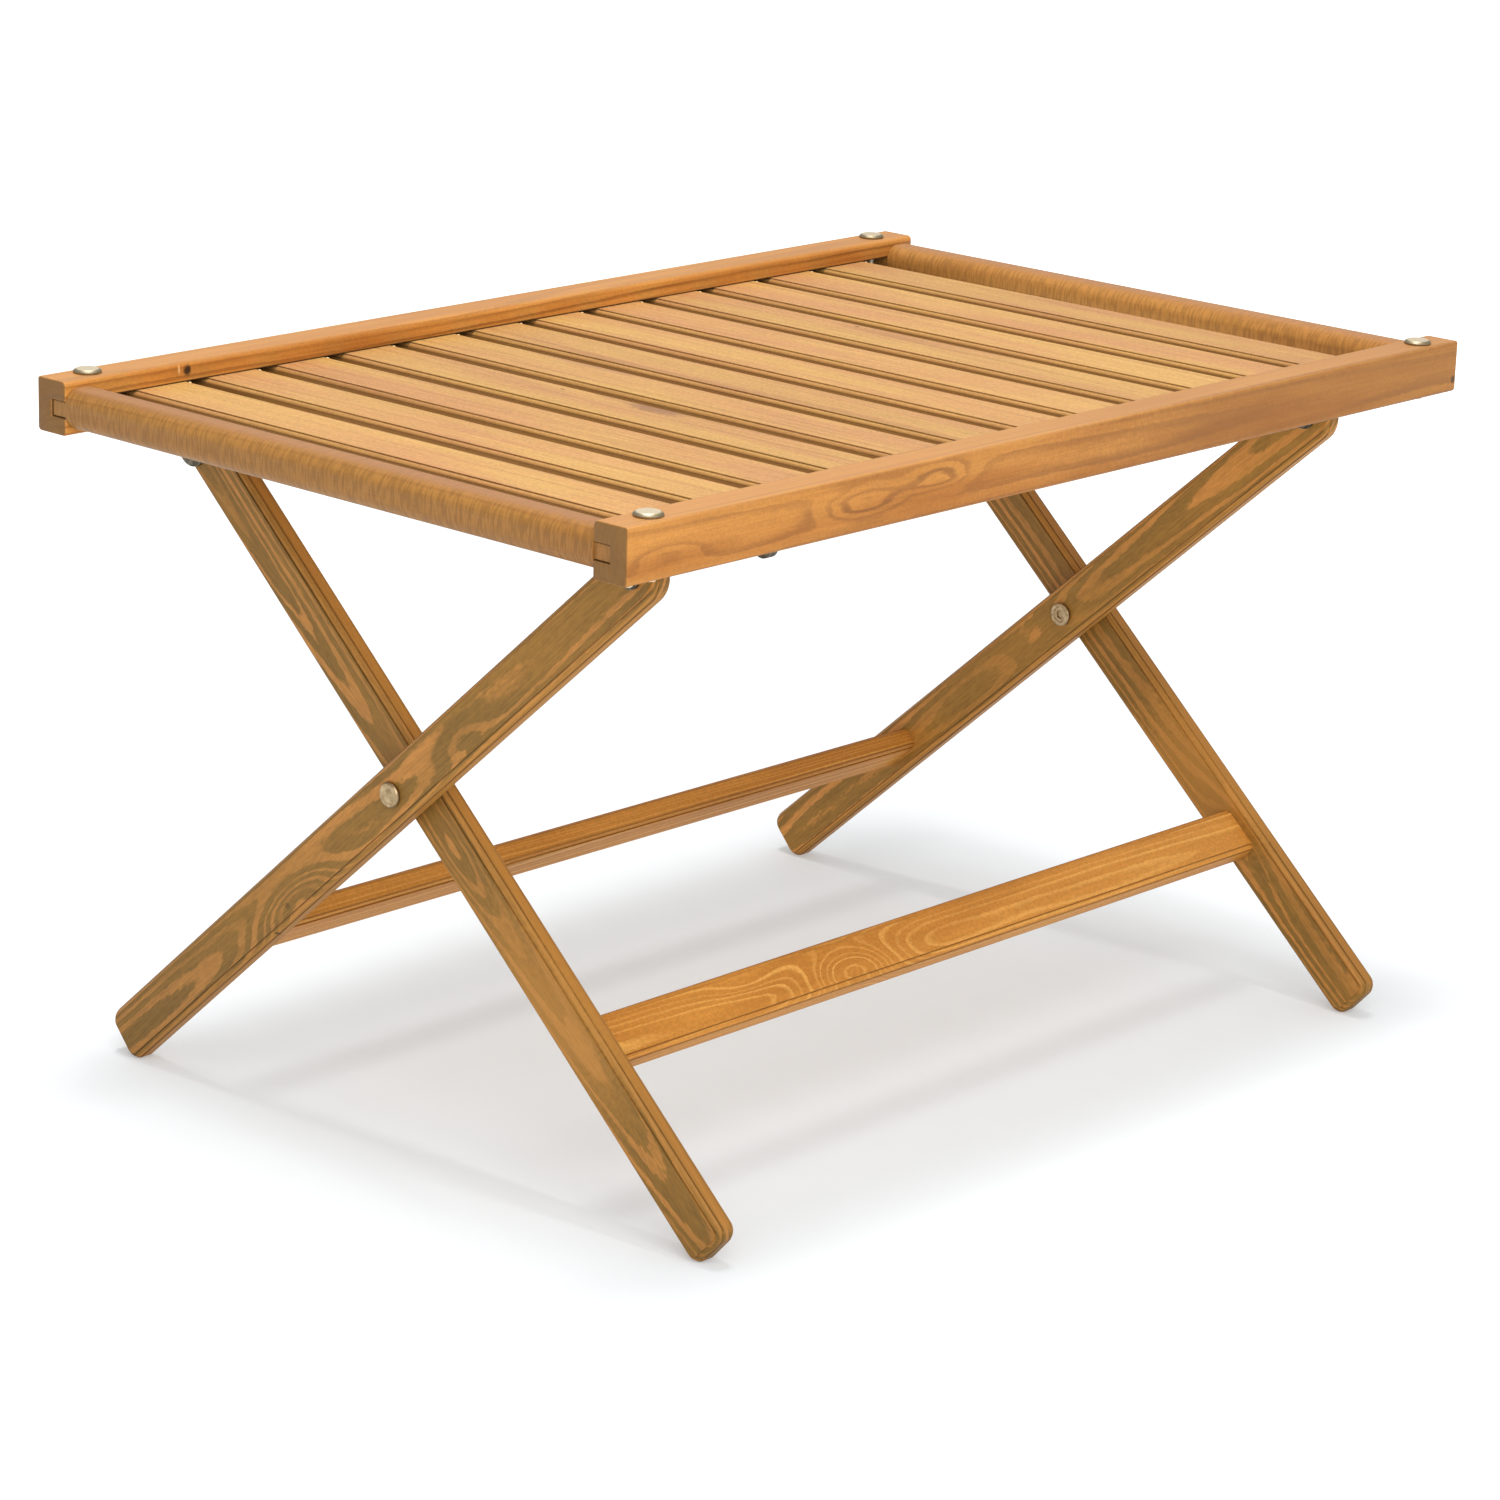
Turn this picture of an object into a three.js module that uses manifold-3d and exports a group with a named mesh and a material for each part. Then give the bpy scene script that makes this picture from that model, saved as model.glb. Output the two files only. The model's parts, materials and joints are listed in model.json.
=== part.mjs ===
// Folding slatted table: a lipped top of twelve slats on two crossed leg frames.
// Millimetres, +Z up, X along the long rails, the feet stand on z = 0.
import * as THREE from 'three';
import { mergeVertices } from 'three/addons/utils/BufferGeometryUtils.js';
import Module from 'manifold-3d';

const wasm = await Module();
wasm.setup();

// Driving dimensions.
const fit = 0.3;                 // clearance between pieces that touch

const topLength = 800;
const topWidth = 514;
const topHeight = 467;           // upper face of the long rails

const railThick = 26.5;
const railHeight = 34.6;
const railEase = 3;              // radius along the rails' four long edges
const grooveDrop = 12.8;         // rail top to the upper side of the groove
const grooveHigh = 10.4;
const grooveDeep = 13;

const slatCount = 12;
const slatPitch = 58.9;
const slatShift = 2.2;           // the row of slats sits this much towards the far end
const slatWide = 46.8;
const slatThick = grooveHigh - 2 * fit;
const slatEase = 2.6;
const slatShoulder = 0.4;        // the slats' tongues are this much lower than their tops

const endRailWide = 27;
const endRailHigh = 26;
const endRailRound = 10.2;
const endRailDrop = 4.6;         // rail top to the end rail's upper side
const tongueWide = 24.5;

const legWide = 36;
const legThick = 16.5;
const legEase = 3;               // round-over along the legs' edges
const footRound = 9;             // corner radius of the foot
const angleA = 41.5;             // legs of frames A and B from the horizontal, degrees
const angleB = 42;
const legSpread = 3.5;           // space between two crossing legs
const crossHeight = 240;         // axis of the crossing bolts above the floor
const upperArm = 267;            // crossing axis to the axis at the leg's upper end
const nearLegX = -336.5;         // outer face of the near leg of frame A
const farLegX = 347.1;           // outer face of the far leg of frame B

const stretcherWide = 34;
const stretcherThick = 16.5;
const stretcherEase = 3;
const stretcherAlong = 198.5;    // crossing axis to the middle of the stretcher
const tenonWide = 20;
const tenonThick = 8.5;
const tenonLong = 11;

const cornerBoltInset = 29.5;    // bolt axis from the rail's end
const cornerBoltEdge = 12.6;     // bolt axis from the rail's outer face
const cornerHeadRadius = 9;
const cornerHeadHigh = 2.6;
const cornerShank = 3;
const cornerNutRadius = 6;
const cornerNutHigh = 2.2;

const crossShank = 4;
const crossHeadRadius = 8.2;
const crossHeadHigh = 2.8;
const crossNutHigh = 2.6;
const socketRadius = 2.9;
const washerRadius = 9.5;

const pinShank = 3.1;            // hinge pins and rest pins
const pinHeadRadius = 6;
const pinHeadHigh = 2.2;
const plateThick = 2.5;          // folded steel brackets
const hingeRound = 7.2;          // rounded lower end of the hinge ears
const hookRound = 12.8;          // rounded lower end of the hook ears
const hookShift = 7;             // hook ears reach further back than forward
const capRadius = 7.4;
const capHigh = 7;
const nearPinTail = 97;          // how far the near hinge pin runs on past its bracket
const farCapHigh = 4;
const hingeFront = 22;           // bracket web, before and behind its pin axis
const hingeBack = 22;
const hookFront = 19;
const hookBack = 25;
const screwRadius = 1.8;
const screwHead = 3.4;
const screwHeadHigh = 1.5;
const screwInset = 6;            // screw axis from the end of a bracket's web

// Worked-out places.
const tiltA = THREE.MathUtils.degToRad(angleA);
const tiltB = THREE.MathUtils.degToRad(angleB);
const hingeAxis = { y: -upperArm * Math.cos(tiltA), z: crossHeight + upperArm * Math.sin(tiltA) };
const hookAxis = { y: upperArm * Math.cos(tiltB), z: crossHeight + upperArm * Math.sin(tiltB) };
const endX = topLength / 2;
const sideY = topWidth / 2;
const innerY = sideY - railThick;
const railBottom = topHeight - railHeight;
const grooveTop = topHeight - grooveDrop;
const slatTop = grooveTop - fit;
const slatBottom = slatTop - slatThick;
const legStep = legThick + legSpread;

const legX = {
  aNear: nearLegX,
  bNear: nearLegX + legStep,
  aFar: farLegX - legThick - legStep,
  bFar: farLegX - legThick,
};

// Materials.
function finish(color, roughness, metalness) {
  return new THREE.MeshStandardMaterial({ color, roughness, metalness });
}

const slatWood = finish(0xdaa869, 0.6, 0);
const railWood = finish(0xcf8a48, 0.55, 0);
const legWood = finish(0xb37b40, 0.6, 0);
const agedBrass = finish(0xb0a07a, 0.35, 1);
const darkSteel = finish(0x4a4438, 0.45, 1);

const table = new THREE.Group();

// Solids and booleans.
function toSolid(geometry) {
  const bare = geometry.clone();
  bare.deleteAttribute('normal');
  bare.deleteAttribute('uv');
  const merged = mergeVertices(bare, 1e-4);
  return new wasm.Manifold(new wasm.Mesh({
    numProp: 3,
    vertProperties: new Float32Array(merged.attributes.position.array),
    triVerts: new Uint32Array(merged.index.array),
  }));
}

function toGeometry(solid) {
  const mesh = solid.getMesh();
  const geometry = new THREE.BufferGeometry();
  geometry.setAttribute('position', new THREE.BufferAttribute(new Float32Array(mesh.vertProperties), 3));
  geometry.setIndex(new THREE.BufferAttribute(new Uint32Array(mesh.triVerts), 1));
  geometry.computeVertexNormals();
  return geometry;
}

function cut(base, ...tools) {
  let solid = toSolid(base);
  for (const tool of tools) {
    solid = solid.subtract(toSolid(tool));
  }
  return toGeometry(solid);
}

function join(base, ...others) {
  let solid = toSolid(base);
  for (const other of others) {
    solid = solid.add(toSolid(other));
  }
  return toGeometry(solid);
}

// Shapes.
// rectangle w by h about (cx, cy) with all corners rounded by r
function roundedRect(w, h, r, cx = 0, cy = 0) {
  const x0 = cx - w / 2;
  const x1 = cx + w / 2;
  const y0 = cy - h / 2;
  const y1 = cy + h / 2;
  const shape = new THREE.Shape();
  shape.moveTo(x0 + r, y0);
  shape.lineTo(x1 - r, y0);
  shape.absarc(x1 - r, y0 + r, r, -Math.PI / 2, 0, false);
  shape.lineTo(x1, y1 - r);
  shape.absarc(x1 - r, y1 - r, r, 0, Math.PI / 2, false);
  shape.lineTo(x0 + r, y1);
  shape.absarc(x0 + r, y1 - r, r, Math.PI / 2, Math.PI, false);
  shape.lineTo(x0, y0 + r);
  shape.absarc(x0 + r, y0 + r, r, Math.PI, Math.PI * 1.5, false);
  return shape;
}

// a shape drawn in the Y-Z plane, run along X from x0 to x1
function alongX(shape, x0, x1, segments = 4) {
  const geometry = new THREE.ExtrudeGeometry(shape, { depth: x1 - x0, bevelEnabled: false, curveSegments: segments });
  const basis = new THREE.Matrix4().makeBasis(
    new THREE.Vector3(0, 1, 0),
    new THREE.Vector3(0, 0, 1),
    new THREE.Vector3(1, 0, 0),
  );
  geometry.applyMatrix4(basis);
  geometry.translate(x0, 0, 0);
  return geometry;
}

// a shape drawn in the X-Z plane, run along Y from y0 to y1
function alongY(shape, y0, y1, segments = 4) {
  const geometry = new THREE.ExtrudeGeometry(shape, { depth: y1 - y0, bevelEnabled: false, curveSegments: segments });
  const basis = new THREE.Matrix4().makeBasis(
    new THREE.Vector3(-1, 0, 0),
    new THREE.Vector3(0, 0, 1),
    new THREE.Vector3(0, 1, 0),
  );
  geometry.applyMatrix4(basis);
  geometry.translate(0, y0, 0);
  return geometry;
}

function box(x0, x1, y0, y1, z0, z1) {
  const geometry = new THREE.BoxGeometry(x1 - x0, y1 - y0, z1 - z0);
  geometry.translate((x0 + x1) / 2, (y0 + y1) / 2, (z0 + z1) / 2);
  return geometry;
}

// a plain round bar along X or along Z
function barX(radius, x0, x1, y = 0, z = 0, sides = 14) {
  const geometry = new THREE.CylinderGeometry(radius, radius, x1 - x0, sides);
  geometry.rotateZ(-Math.PI / 2);
  geometry.translate((x0 + x1) / 2, y, z);
  return geometry;
}

function barZ(radius, z0, z1, x, y, sides = 14) {
  const geometry = new THREE.CylinderGeometry(radius, radius, z1 - z0, sides);
  geometry.rotateX(Math.PI / 2);
  geometry.translate(x, y, (z0 + z1) / 2);
  return geometry;
}

// a turned piece: pairs of radius and height, starting and ending on the axis
function turned(profile, sides = 16) {
  const points = profile.map(([r, h]) => new THREE.Vector2(r, h));
  return new THREE.LatheGeometry(points, sides);
}

// shallow dome with a bevelled rim, its flat side at height 0, then a shank below it
function domedBolt(headRadius, headHigh, shank, shankLong) {
  return turned([
    [0, -shankLong],
    [shank, -shankLong],
    [shank, 0],
    [headRadius - 0.4, 0],
    [headRadius, headHigh * 0.25],
    [headRadius * 0.86, headHigh * 0.68],
    [headRadius * 0.55, headHigh * 0.92],
    [0, headHigh],
  ]);
}

function add(name, geometry, material, parent = table) {
  const mesh = new THREE.Mesh(geometry, material);
  mesh.name = name;
  parent.add(mesh);
  return mesh;
}

// Top.
// C section: rounded rectangle with a square groove run along its inner face
function longRail(side) {
  const middle = side * (sideY - railThick / 2);
  const outline = roundedRect(railThick, railHeight, railEase, middle, topHeight - railHeight / 2);
  const bar = alongX(outline, -endX, endX);
  const grooveBack = side * (innerY + grooveDeep);
  const open = side * (innerY - 5);
  const low = Math.min(grooveBack, open);
  const high = Math.max(grooveBack, open);
  const groove = box(-endX - 5, endX + 5, low, high, grooveTop - grooveHigh, grooveTop);
  const boltY = side * (sideY - cornerBoltEdge);
  const boltX = endX - cornerBoltInset;
  const bores = [-boltX, boltX].map((x) => barZ(cornerShank + fit, railBottom - 5, topHeight + 5, x, boltY));
  return cut(bar, groove, ...bores);
}

// oval bar between the long rails with a flat tongue at each end for their grooves
function endRail(side) {
  const middleX = side * (endX - endRailWide / 2);
  const middleZ = topHeight - endRailDrop - endRailHigh / 2;
  const reach = innerY - fit;
  const section = roundedRect(endRailWide, endRailHigh, endRailRound, -middleX, middleZ);
  const bar = alongY(section, -reach, reach, 6);
  const tongueReach = innerY + grooveDeep - fit;
  const outer = side * endX;
  const inner = side * (endX - tongueWide);
  const tongue = box(
    Math.min(outer, inner),
    Math.max(outer, inner),
    -tongueReach,
    tongueReach,
    grooveTop - grooveHigh + fit,
    grooveTop - fit,
  );
  return join(bar, tongue);
}

// a slat between the grooves; its end tongues are a hair lower than its top
function slat(index) {
  const middleX = (index - (slatCount + 1) / 2) * slatPitch + slatShift;
  const reach = innerY + grooveDeep - 2 * fit;
  const section = roundedRect(slatWide, slatThick, slatEase, -middleX, (slatTop + slatBottom) / 2);
  const bar = alongY(section, -reach, reach, 3);
  const x0 = middleX - slatWide;
  const x1 = middleX + slatWide;
  const shoulders = [-1, 1].map((side) => {
    const inner = side * (innerY - 2 * fit);
    const outer = side * (reach + 5);
    return box(x0, x1, Math.min(inner, outer), Math.max(inner, outer), slatTop - slatShoulder, slatTop + 5);
  });
  return cut(bar, ...shoulders);
}

function cornerBolt(x, y) {
  const shankLong = topHeight - railBottom + cornerNutHigh;
  const bolt = domedBolt(cornerHeadRadius, cornerHeadHigh, cornerShank, shankLong);
  bolt.rotateX(Math.PI / 2);
  bolt.translate(x, y, topHeight + fit);
  return bolt;
}

function cornerNut(x, y) {
  const top = railBottom - fit;
  const bottom = top - cornerNutHigh;
  const body = barZ(cornerNutRadius, bottom, top, x, y, 6);
  return cut(body, barZ(cornerShank + fit, bottom - 1, top + 1, x, y));
}

function buildTop() {
  add('long_rail_front', longRail(-1), railWood);
  add('long_rail_back', longRail(1), railWood);
  add('end_rail_near', endRail(-1), railWood);
  add('end_rail_far', endRail(1), railWood);
  for (let index = 1; index <= slatCount; index += 1) {
    add(`slat_${String(index).padStart(2, '0')}`, slat(index), slatWood);
  }
  const boltX = endX - cornerBoltInset;
  const boltY = sideY - cornerBoltEdge;
  const corners = [
    ['front_near', -boltX, -boltY],
    ['front_far', boltX, -boltY],
    ['back_near', -boltX, boltY],
    ['back_far', boltX, boltY],
  ];
  for (const [place, x, y] of corners) {
    add(`corner_bolt_${place}`, cornerBolt(x, y), agedBrass);
    add(`corner_nut_${place}`, cornerNut(x, y), agedBrass);
  }
}

// Brackets under the top.
// one ear in the Y-Z plane about the pin axis: wide at the web, round at the bottom
function ear(x0, axis, round, shift, front, back) {
  const webTop = slatBottom - fit;
  const shape = new THREE.Shape();
  shape.moveTo(axis.y + back, webTop);
  shape.lineTo(axis.y - front, webTop);
  shape.lineTo(axis.y + shift - round, axis.z);
  shape.absarc(axis.y + shift, axis.z, round, Math.PI, Math.PI * 2, false);
  shape.lineTo(axis.y + back, webTop);
  return alongX(shape, x0, x0 + plateThick, 8);
}

// folded steel channel over a leg's upper end: a web under the slats and two ears
function channel(legLeft, axis, round, shift, front, back) {
  const left = legLeft - fit - plateThick;
  const right = legLeft + legThick + fit;
  const webTop = slatBottom - fit;
  const web = box(left, right + plateThick, axis.y - front, axis.y + back, webTop - plateThick, webTop);
  const ears = [left, right].map((x0) => ear(x0, axis, round, shift, front, back));
  return join(web, ...ears);
}

function screwPlaces(legLeft, y, front, back) {
  const x = legLeft + legThick / 2;
  return [
    [x, y - front + screwInset],
    [x, y + back - screwInset],
  ];
}

function screwHoles(places) {
  return places.map(([x, y]) => barZ(screwRadius + fit, slatBottom - 8, slatBottom + 2, x, y, 10));
}

function hingeBracket(legLeft) {
  const bore = barX(pinShank + fit, legLeft - 10, legLeft + legThick + 10, hingeAxis.y, hingeAxis.z);
  const places = screwPlaces(legLeft, hingeAxis.y, hingeFront, hingeBack);
  return cut(channel(legLeft, hingeAxis, hingeRound, 0, hingeFront, hingeBack), bore, ...screwHoles(places));
}

// the hook's slot is level and open to the front, so the rest pin can only slide out forwards
function hookBracket(legLeft) {
  const x0 = legLeft - 10;
  const x1 = legLeft + legThick + 10;
  const slotHalf = pinShank + fit;
  const { y, z } = hookAxis;
  const seat = barX(slotHalf, x0, x1, y, z);
  const slot = box(x0, x1, y - 30, y, z - slotHalf, z + slotHalf);
  const places = screwPlaces(legLeft, y, hookFront, hookBack);
  return cut(channel(legLeft, hookAxis, hookRound, hookShift, hookFront, hookBack), seat, slot, ...screwHoles(places));
}

// pan head under the web, shank up into the slat
function bracketScrew(x, y) {
  const webBottom = slatBottom - fit - plateThick;
  const headTop = webBottom - fit;
  const long = screwHeadHigh + plateThick + 1.5 * fit;
  const screw = turned([
    [0, 0],
    [screwHead * 0.7, 0],
    [screwHead, screwHeadHigh / 2],
    [screwHead, screwHeadHigh],
    [screwRadius, screwHeadHigh],
    [screwRadius, long],
    [0, long],
  ], 10);
  screw.rotateX(Math.PI / 2);
  screw.translate(x, y, headTop - screwHeadHigh);
  return screw;
}

function buildBrackets() {
  const fittings = [
    ['near', legX.aNear, legX.bNear],
    ['far', legX.aFar, legX.bFar],
  ];
  for (const [place, hingeLeg, hookLeg] of fittings) {
    add(`hinge_bracket_${place}`, hingeBracket(hingeLeg), darkSteel);
    add(`hook_bracket_${place}`, hookBracket(hookLeg), darkSteel);
    const screws = [
      ...screwPlaces(hingeLeg, hingeAxis.y, hingeFront, hingeBack).map((spot) => ['hinge', spot]),
      ...screwPlaces(hookLeg, hookAxis.y, hookFront, hookBack).map((spot) => ['hook', spot]),
    ];
    screws.forEach(([kind, [x, y]], index) => {
      add(`${kind}_screw_${place}_${(index % 2) + 1}`, bracketScrew(x, y), agedBrass);
    });
  }
}

// Leg frames.
// In a frame's own axes the crossing bolt is the origin, Y runs down the leg to the foot and
// Z runs across it. The outline is a full round at the upper end and a rounded foot.
function legOutline(tilt) {
  const cornerDrop = (legWide / 2 - footRound) * Math.cos(tilt) + footRound;
  const lowerArm = (crossHeight - cornerDrop) / Math.sin(tilt) + footRound;
  const half = legWide / 2 - legEase;
  const top = -upperArm;
  const foot = lowerArm - legEase;
  const corner = footRound - legEase;
  const shape = new THREE.Shape();
  shape.moveTo(top, -half);
  shape.lineTo(foot - corner, -half);
  shape.absarc(foot - corner, -half + corner, corner, -Math.PI / 2, 0, false);
  shape.lineTo(foot, half - corner);
  shape.absarc(foot - corner, half - corner, corner, 0, Math.PI / 2, false);
  shape.lineTo(top, half);
  shape.absarc(top, 0, half, Math.PI / 2, Math.PI * 1.5, false);
  return shape;
}

function leg(left, tilt, stretcherSide) {
  const bar = new THREE.ExtrudeGeometry(legOutline(tilt), {
    depth: legThick - 2 * legEase,
    bevelEnabled: true,
    bevelThickness: legEase,
    bevelSize: legEase,
    bevelSegments: 2,
    curveSegments: 6,
  });
  const basis = new THREE.Matrix4().makeBasis(
    new THREE.Vector3(0, 1, 0),
    new THREE.Vector3(0, 0, 1),
    new THREE.Vector3(1, 0, 0),
  );
  bar.applyMatrix4(basis);
  bar.translate(left + legEase, 0, 0);
  const right = left + legThick;
  const crossBore = barX(crossShank + fit, left - 5, right + 5);
  const pinBore = barX(pinShank + fit, left - 5, right + 5, -upperArm, 0);
  const mouth = stretcherSide > 0 ? right : left;
  const bottom = mouth - stretcherSide * (tenonLong + fit);
  const past = mouth + stretcherSide * 5;
  const mortise = box(
    Math.min(bottom, past),
    Math.max(bottom, past),
    stretcherAlong - tenonWide / 2 - fit,
    stretcherAlong + tenonWide / 2 + fit,
    -tenonThick / 2 - fit,
    tenonThick / 2 + fit,
  );
  return cut(bar, crossBore, pinBore, mortise);
}

// rounded bar between two legs with a flat tenon at each end
function stretcher(x0, x1) {
  const body = alongX(
    roundedRect(stretcherWide, stretcherThick, stretcherEase, stretcherAlong, 0),
    x0 + fit,
    x1 - fit,
  );
  const tenon = box(
    x0 - tenonLong,
    x1 + tenonLong,
    stretcherAlong - tenonWide / 2,
    stretcherAlong + tenonWide / 2,
    -tenonThick / 2,
    tenonThick / 2,
  );
  return join(body, tenon);
}

// A crossed-leg frame is drawn in its own axes and turned into place by this group.
function frameGroup(turn) {
  const group = new THREE.Group();
  group.position.set(0, 0, crossHeight);
  group.rotation.x = turn;
  table.add(group);
  return group;
}

function buildLegFrames() {
  const frameA = frameGroup(-tiltA);
  add('leg_a_near', leg(legX.aNear, tiltA, 1), legWood, frameA);
  add('leg_a_far', leg(legX.aFar, tiltA, -1), legWood, frameA);
  add('stretcher_back', stretcher(legX.aNear + legThick, legX.aFar), legWood, frameA);

  const frameB = frameGroup(Math.PI + tiltB);
  add('leg_b_near', leg(legX.bNear, tiltB, 1), legWood, frameB);
  add('leg_b_far', leg(legX.bFar, tiltB, -1), legWood, frameB);
  add('stretcher_front', stretcher(legX.bNear + legThick, legX.bFar), legWood, frameB);
}

// Crossing bolts.
// direction +1 points the head to +X, -1 to -X; face is the surface the head sits on
function crossBolt(face, direction, gripLong) {
  const bolt = domedBolt(crossHeadRadius, crossHeadHigh, crossShank, gripLong);
  bolt.rotateZ(-direction * Math.PI / 2);
  bolt.translate(face + direction * fit, 0, crossHeight);
  return bolt;
}

// flanged sleeve nut: a raised rim round a recessed face with a six-sided socket in it
function crossNut(face, direction) {
  const flange = turned([
    [0, 0],
    [crossHeadRadius - 0.3, 0],
    [crossHeadRadius, crossNutHigh * 0.4],
    [crossHeadRadius * 0.9, crossNutHigh],
    [crossHeadRadius * 0.68, crossNutHigh],
    [crossHeadRadius * 0.6, crossNutHigh * 0.6],
    [0, crossNutHigh * 0.6],
  ]);
  const socket = new THREE.CylinderGeometry(socketRadius, socketRadius, crossNutHigh, 6);
  socket.translate(0, crossNutHigh, 0);
  const nut = cut(flange, socket);
  nut.rotateZ(-direction * Math.PI / 2);
  nut.translate(face + direction * fit, 0, crossHeight);
  return nut;
}

function crossWasher(x0, x1) {
  const ring = barX(washerRadius, x0, x1, 0, crossHeight, 18);
  return cut(ring, barX(crossShank + fit, x0 - 1, x1 + 1, 0, crossHeight));
}

function buildCrossing() {
  const gripLong = 2 * legThick + legSpread;
  add('cross_bolt_near', crossBolt(legX.aNear, -1, gripLong), agedBrass);
  add('cross_nut_near', crossNut(legX.bNear + legThick, 1), agedBrass);
  add('cross_bolt_far', crossBolt(legX.bFar + legThick, 1, gripLong), agedBrass);
  add('cross_nut_far', crossNut(legX.aFar, -1), agedBrass);
  for (const [place, gapStart] of [['near', legX.aNear], ['far', legX.aFar]]) {
    const x0 = gapStart + legThick + fit;
    add(`cross_washer_${place}`, crossWasher(x0, x0 + legSpread - 2 * fit), agedBrass);
  }
}

// Hinge pins and rest pins.
// round pin along X: a domed head at x0, then the shank to x1
function pin(x0, x1, axis) {
  const long = Math.abs(x1 - x0);
  const shape = domedBolt(pinHeadRadius, pinHeadHigh, pinShank, long);
  shape.rotateZ(x1 > x0 ? Math.PI / 2 : -Math.PI / 2);
  shape.translate(x0, axis.y, axis.z);
  return shape;
}

// thick round collar pressed on the end of a pin
function cap(x0, x1, axis, radius) {
  const ring = barX(radius, x0, x1, axis.y, axis.z, 18);
  return cut(ring, barX(pinShank + fit, x0 - 1, x1 + 1, axis.y, axis.z));
}

function buildPins() {
  const earReach = 2 * fit + plateThick;
  const nearOuter = legX.aNear - earReach;
  const nearTail = legX.aNear + legThick + earReach + nearPinTail;
  add('hinge_pin_near', pin(nearOuter, nearTail, hingeAxis), agedBrass);
  add('hinge_cap_near', cap(nearTail - capHigh, nearTail, hingeAxis, capRadius), darkSteel);

  const farOuter = legX.aFar + legThick + earReach;
  const farTail = legX.aFar - earReach - farCapHigh;
  add('hinge_pin_far', pin(farOuter, farTail, hingeAxis), agedBrass);
  add('hinge_cap_far', cap(farTail, farTail + farCapHigh, hingeAxis, pinHeadRadius), darkSteel);

  for (const [place, left, head] of [['near', legX.bNear, -1], ['far', legX.bFar, 1]]) {
    const reach = 2 * fit + earReach;
    const start = head < 0 ? left - reach : left + legThick + reach;
    const stop = head < 0 ? left + legThick + reach + 2 : left - reach - 2;
    add(`rest_pin_${place}`, pin(start, stop, hookAxis), agedBrass);
  }
}

buildTop();
buildBrackets();
buildLegFrames();
buildCrossing();
buildPins();

export default table;
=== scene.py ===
# Folding picnic table: shapes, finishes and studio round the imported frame. Metres, +Z up.
import json
import math

import bmesh
import bpy
import numpy as np
from mathutils import Matrix, Vector


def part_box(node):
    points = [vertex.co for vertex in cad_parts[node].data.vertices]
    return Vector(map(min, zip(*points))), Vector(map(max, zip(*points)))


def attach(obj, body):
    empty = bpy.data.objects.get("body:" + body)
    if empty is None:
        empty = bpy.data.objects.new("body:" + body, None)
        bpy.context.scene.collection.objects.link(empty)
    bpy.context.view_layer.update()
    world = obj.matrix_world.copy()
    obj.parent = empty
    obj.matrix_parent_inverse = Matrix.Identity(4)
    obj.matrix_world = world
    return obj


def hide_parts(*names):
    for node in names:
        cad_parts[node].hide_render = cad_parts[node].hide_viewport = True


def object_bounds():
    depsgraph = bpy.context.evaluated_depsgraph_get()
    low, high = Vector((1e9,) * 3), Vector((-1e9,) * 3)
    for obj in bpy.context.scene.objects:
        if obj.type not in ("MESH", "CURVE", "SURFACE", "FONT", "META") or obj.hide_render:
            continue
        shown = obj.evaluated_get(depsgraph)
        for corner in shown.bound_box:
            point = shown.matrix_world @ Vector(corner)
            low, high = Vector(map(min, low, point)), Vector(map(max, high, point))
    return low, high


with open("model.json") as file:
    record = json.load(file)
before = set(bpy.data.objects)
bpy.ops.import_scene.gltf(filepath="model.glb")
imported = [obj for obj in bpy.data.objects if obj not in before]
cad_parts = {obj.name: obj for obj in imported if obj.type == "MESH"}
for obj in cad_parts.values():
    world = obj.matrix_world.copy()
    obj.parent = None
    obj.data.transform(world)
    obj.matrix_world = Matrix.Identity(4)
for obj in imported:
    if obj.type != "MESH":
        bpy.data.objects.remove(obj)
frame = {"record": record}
cadLow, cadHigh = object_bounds()
record = frame["record"]
mm = 0.001
bodyOf = {node: body for body, nodes in record["behaviour"]["bodies"].items() for node in nodes}
slotOf = {part["node"]: part["material_slot"] for part in record["subparts"]}


def boxOf(node):
    low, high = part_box(node)
    return np.array(low), np.array(high)


def jointPlace(name):
    found = [joint for joint in record["behaviour"]["joints"] if joint["name"] == name]
    return np.array(found[0]["pos_m"])


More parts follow.
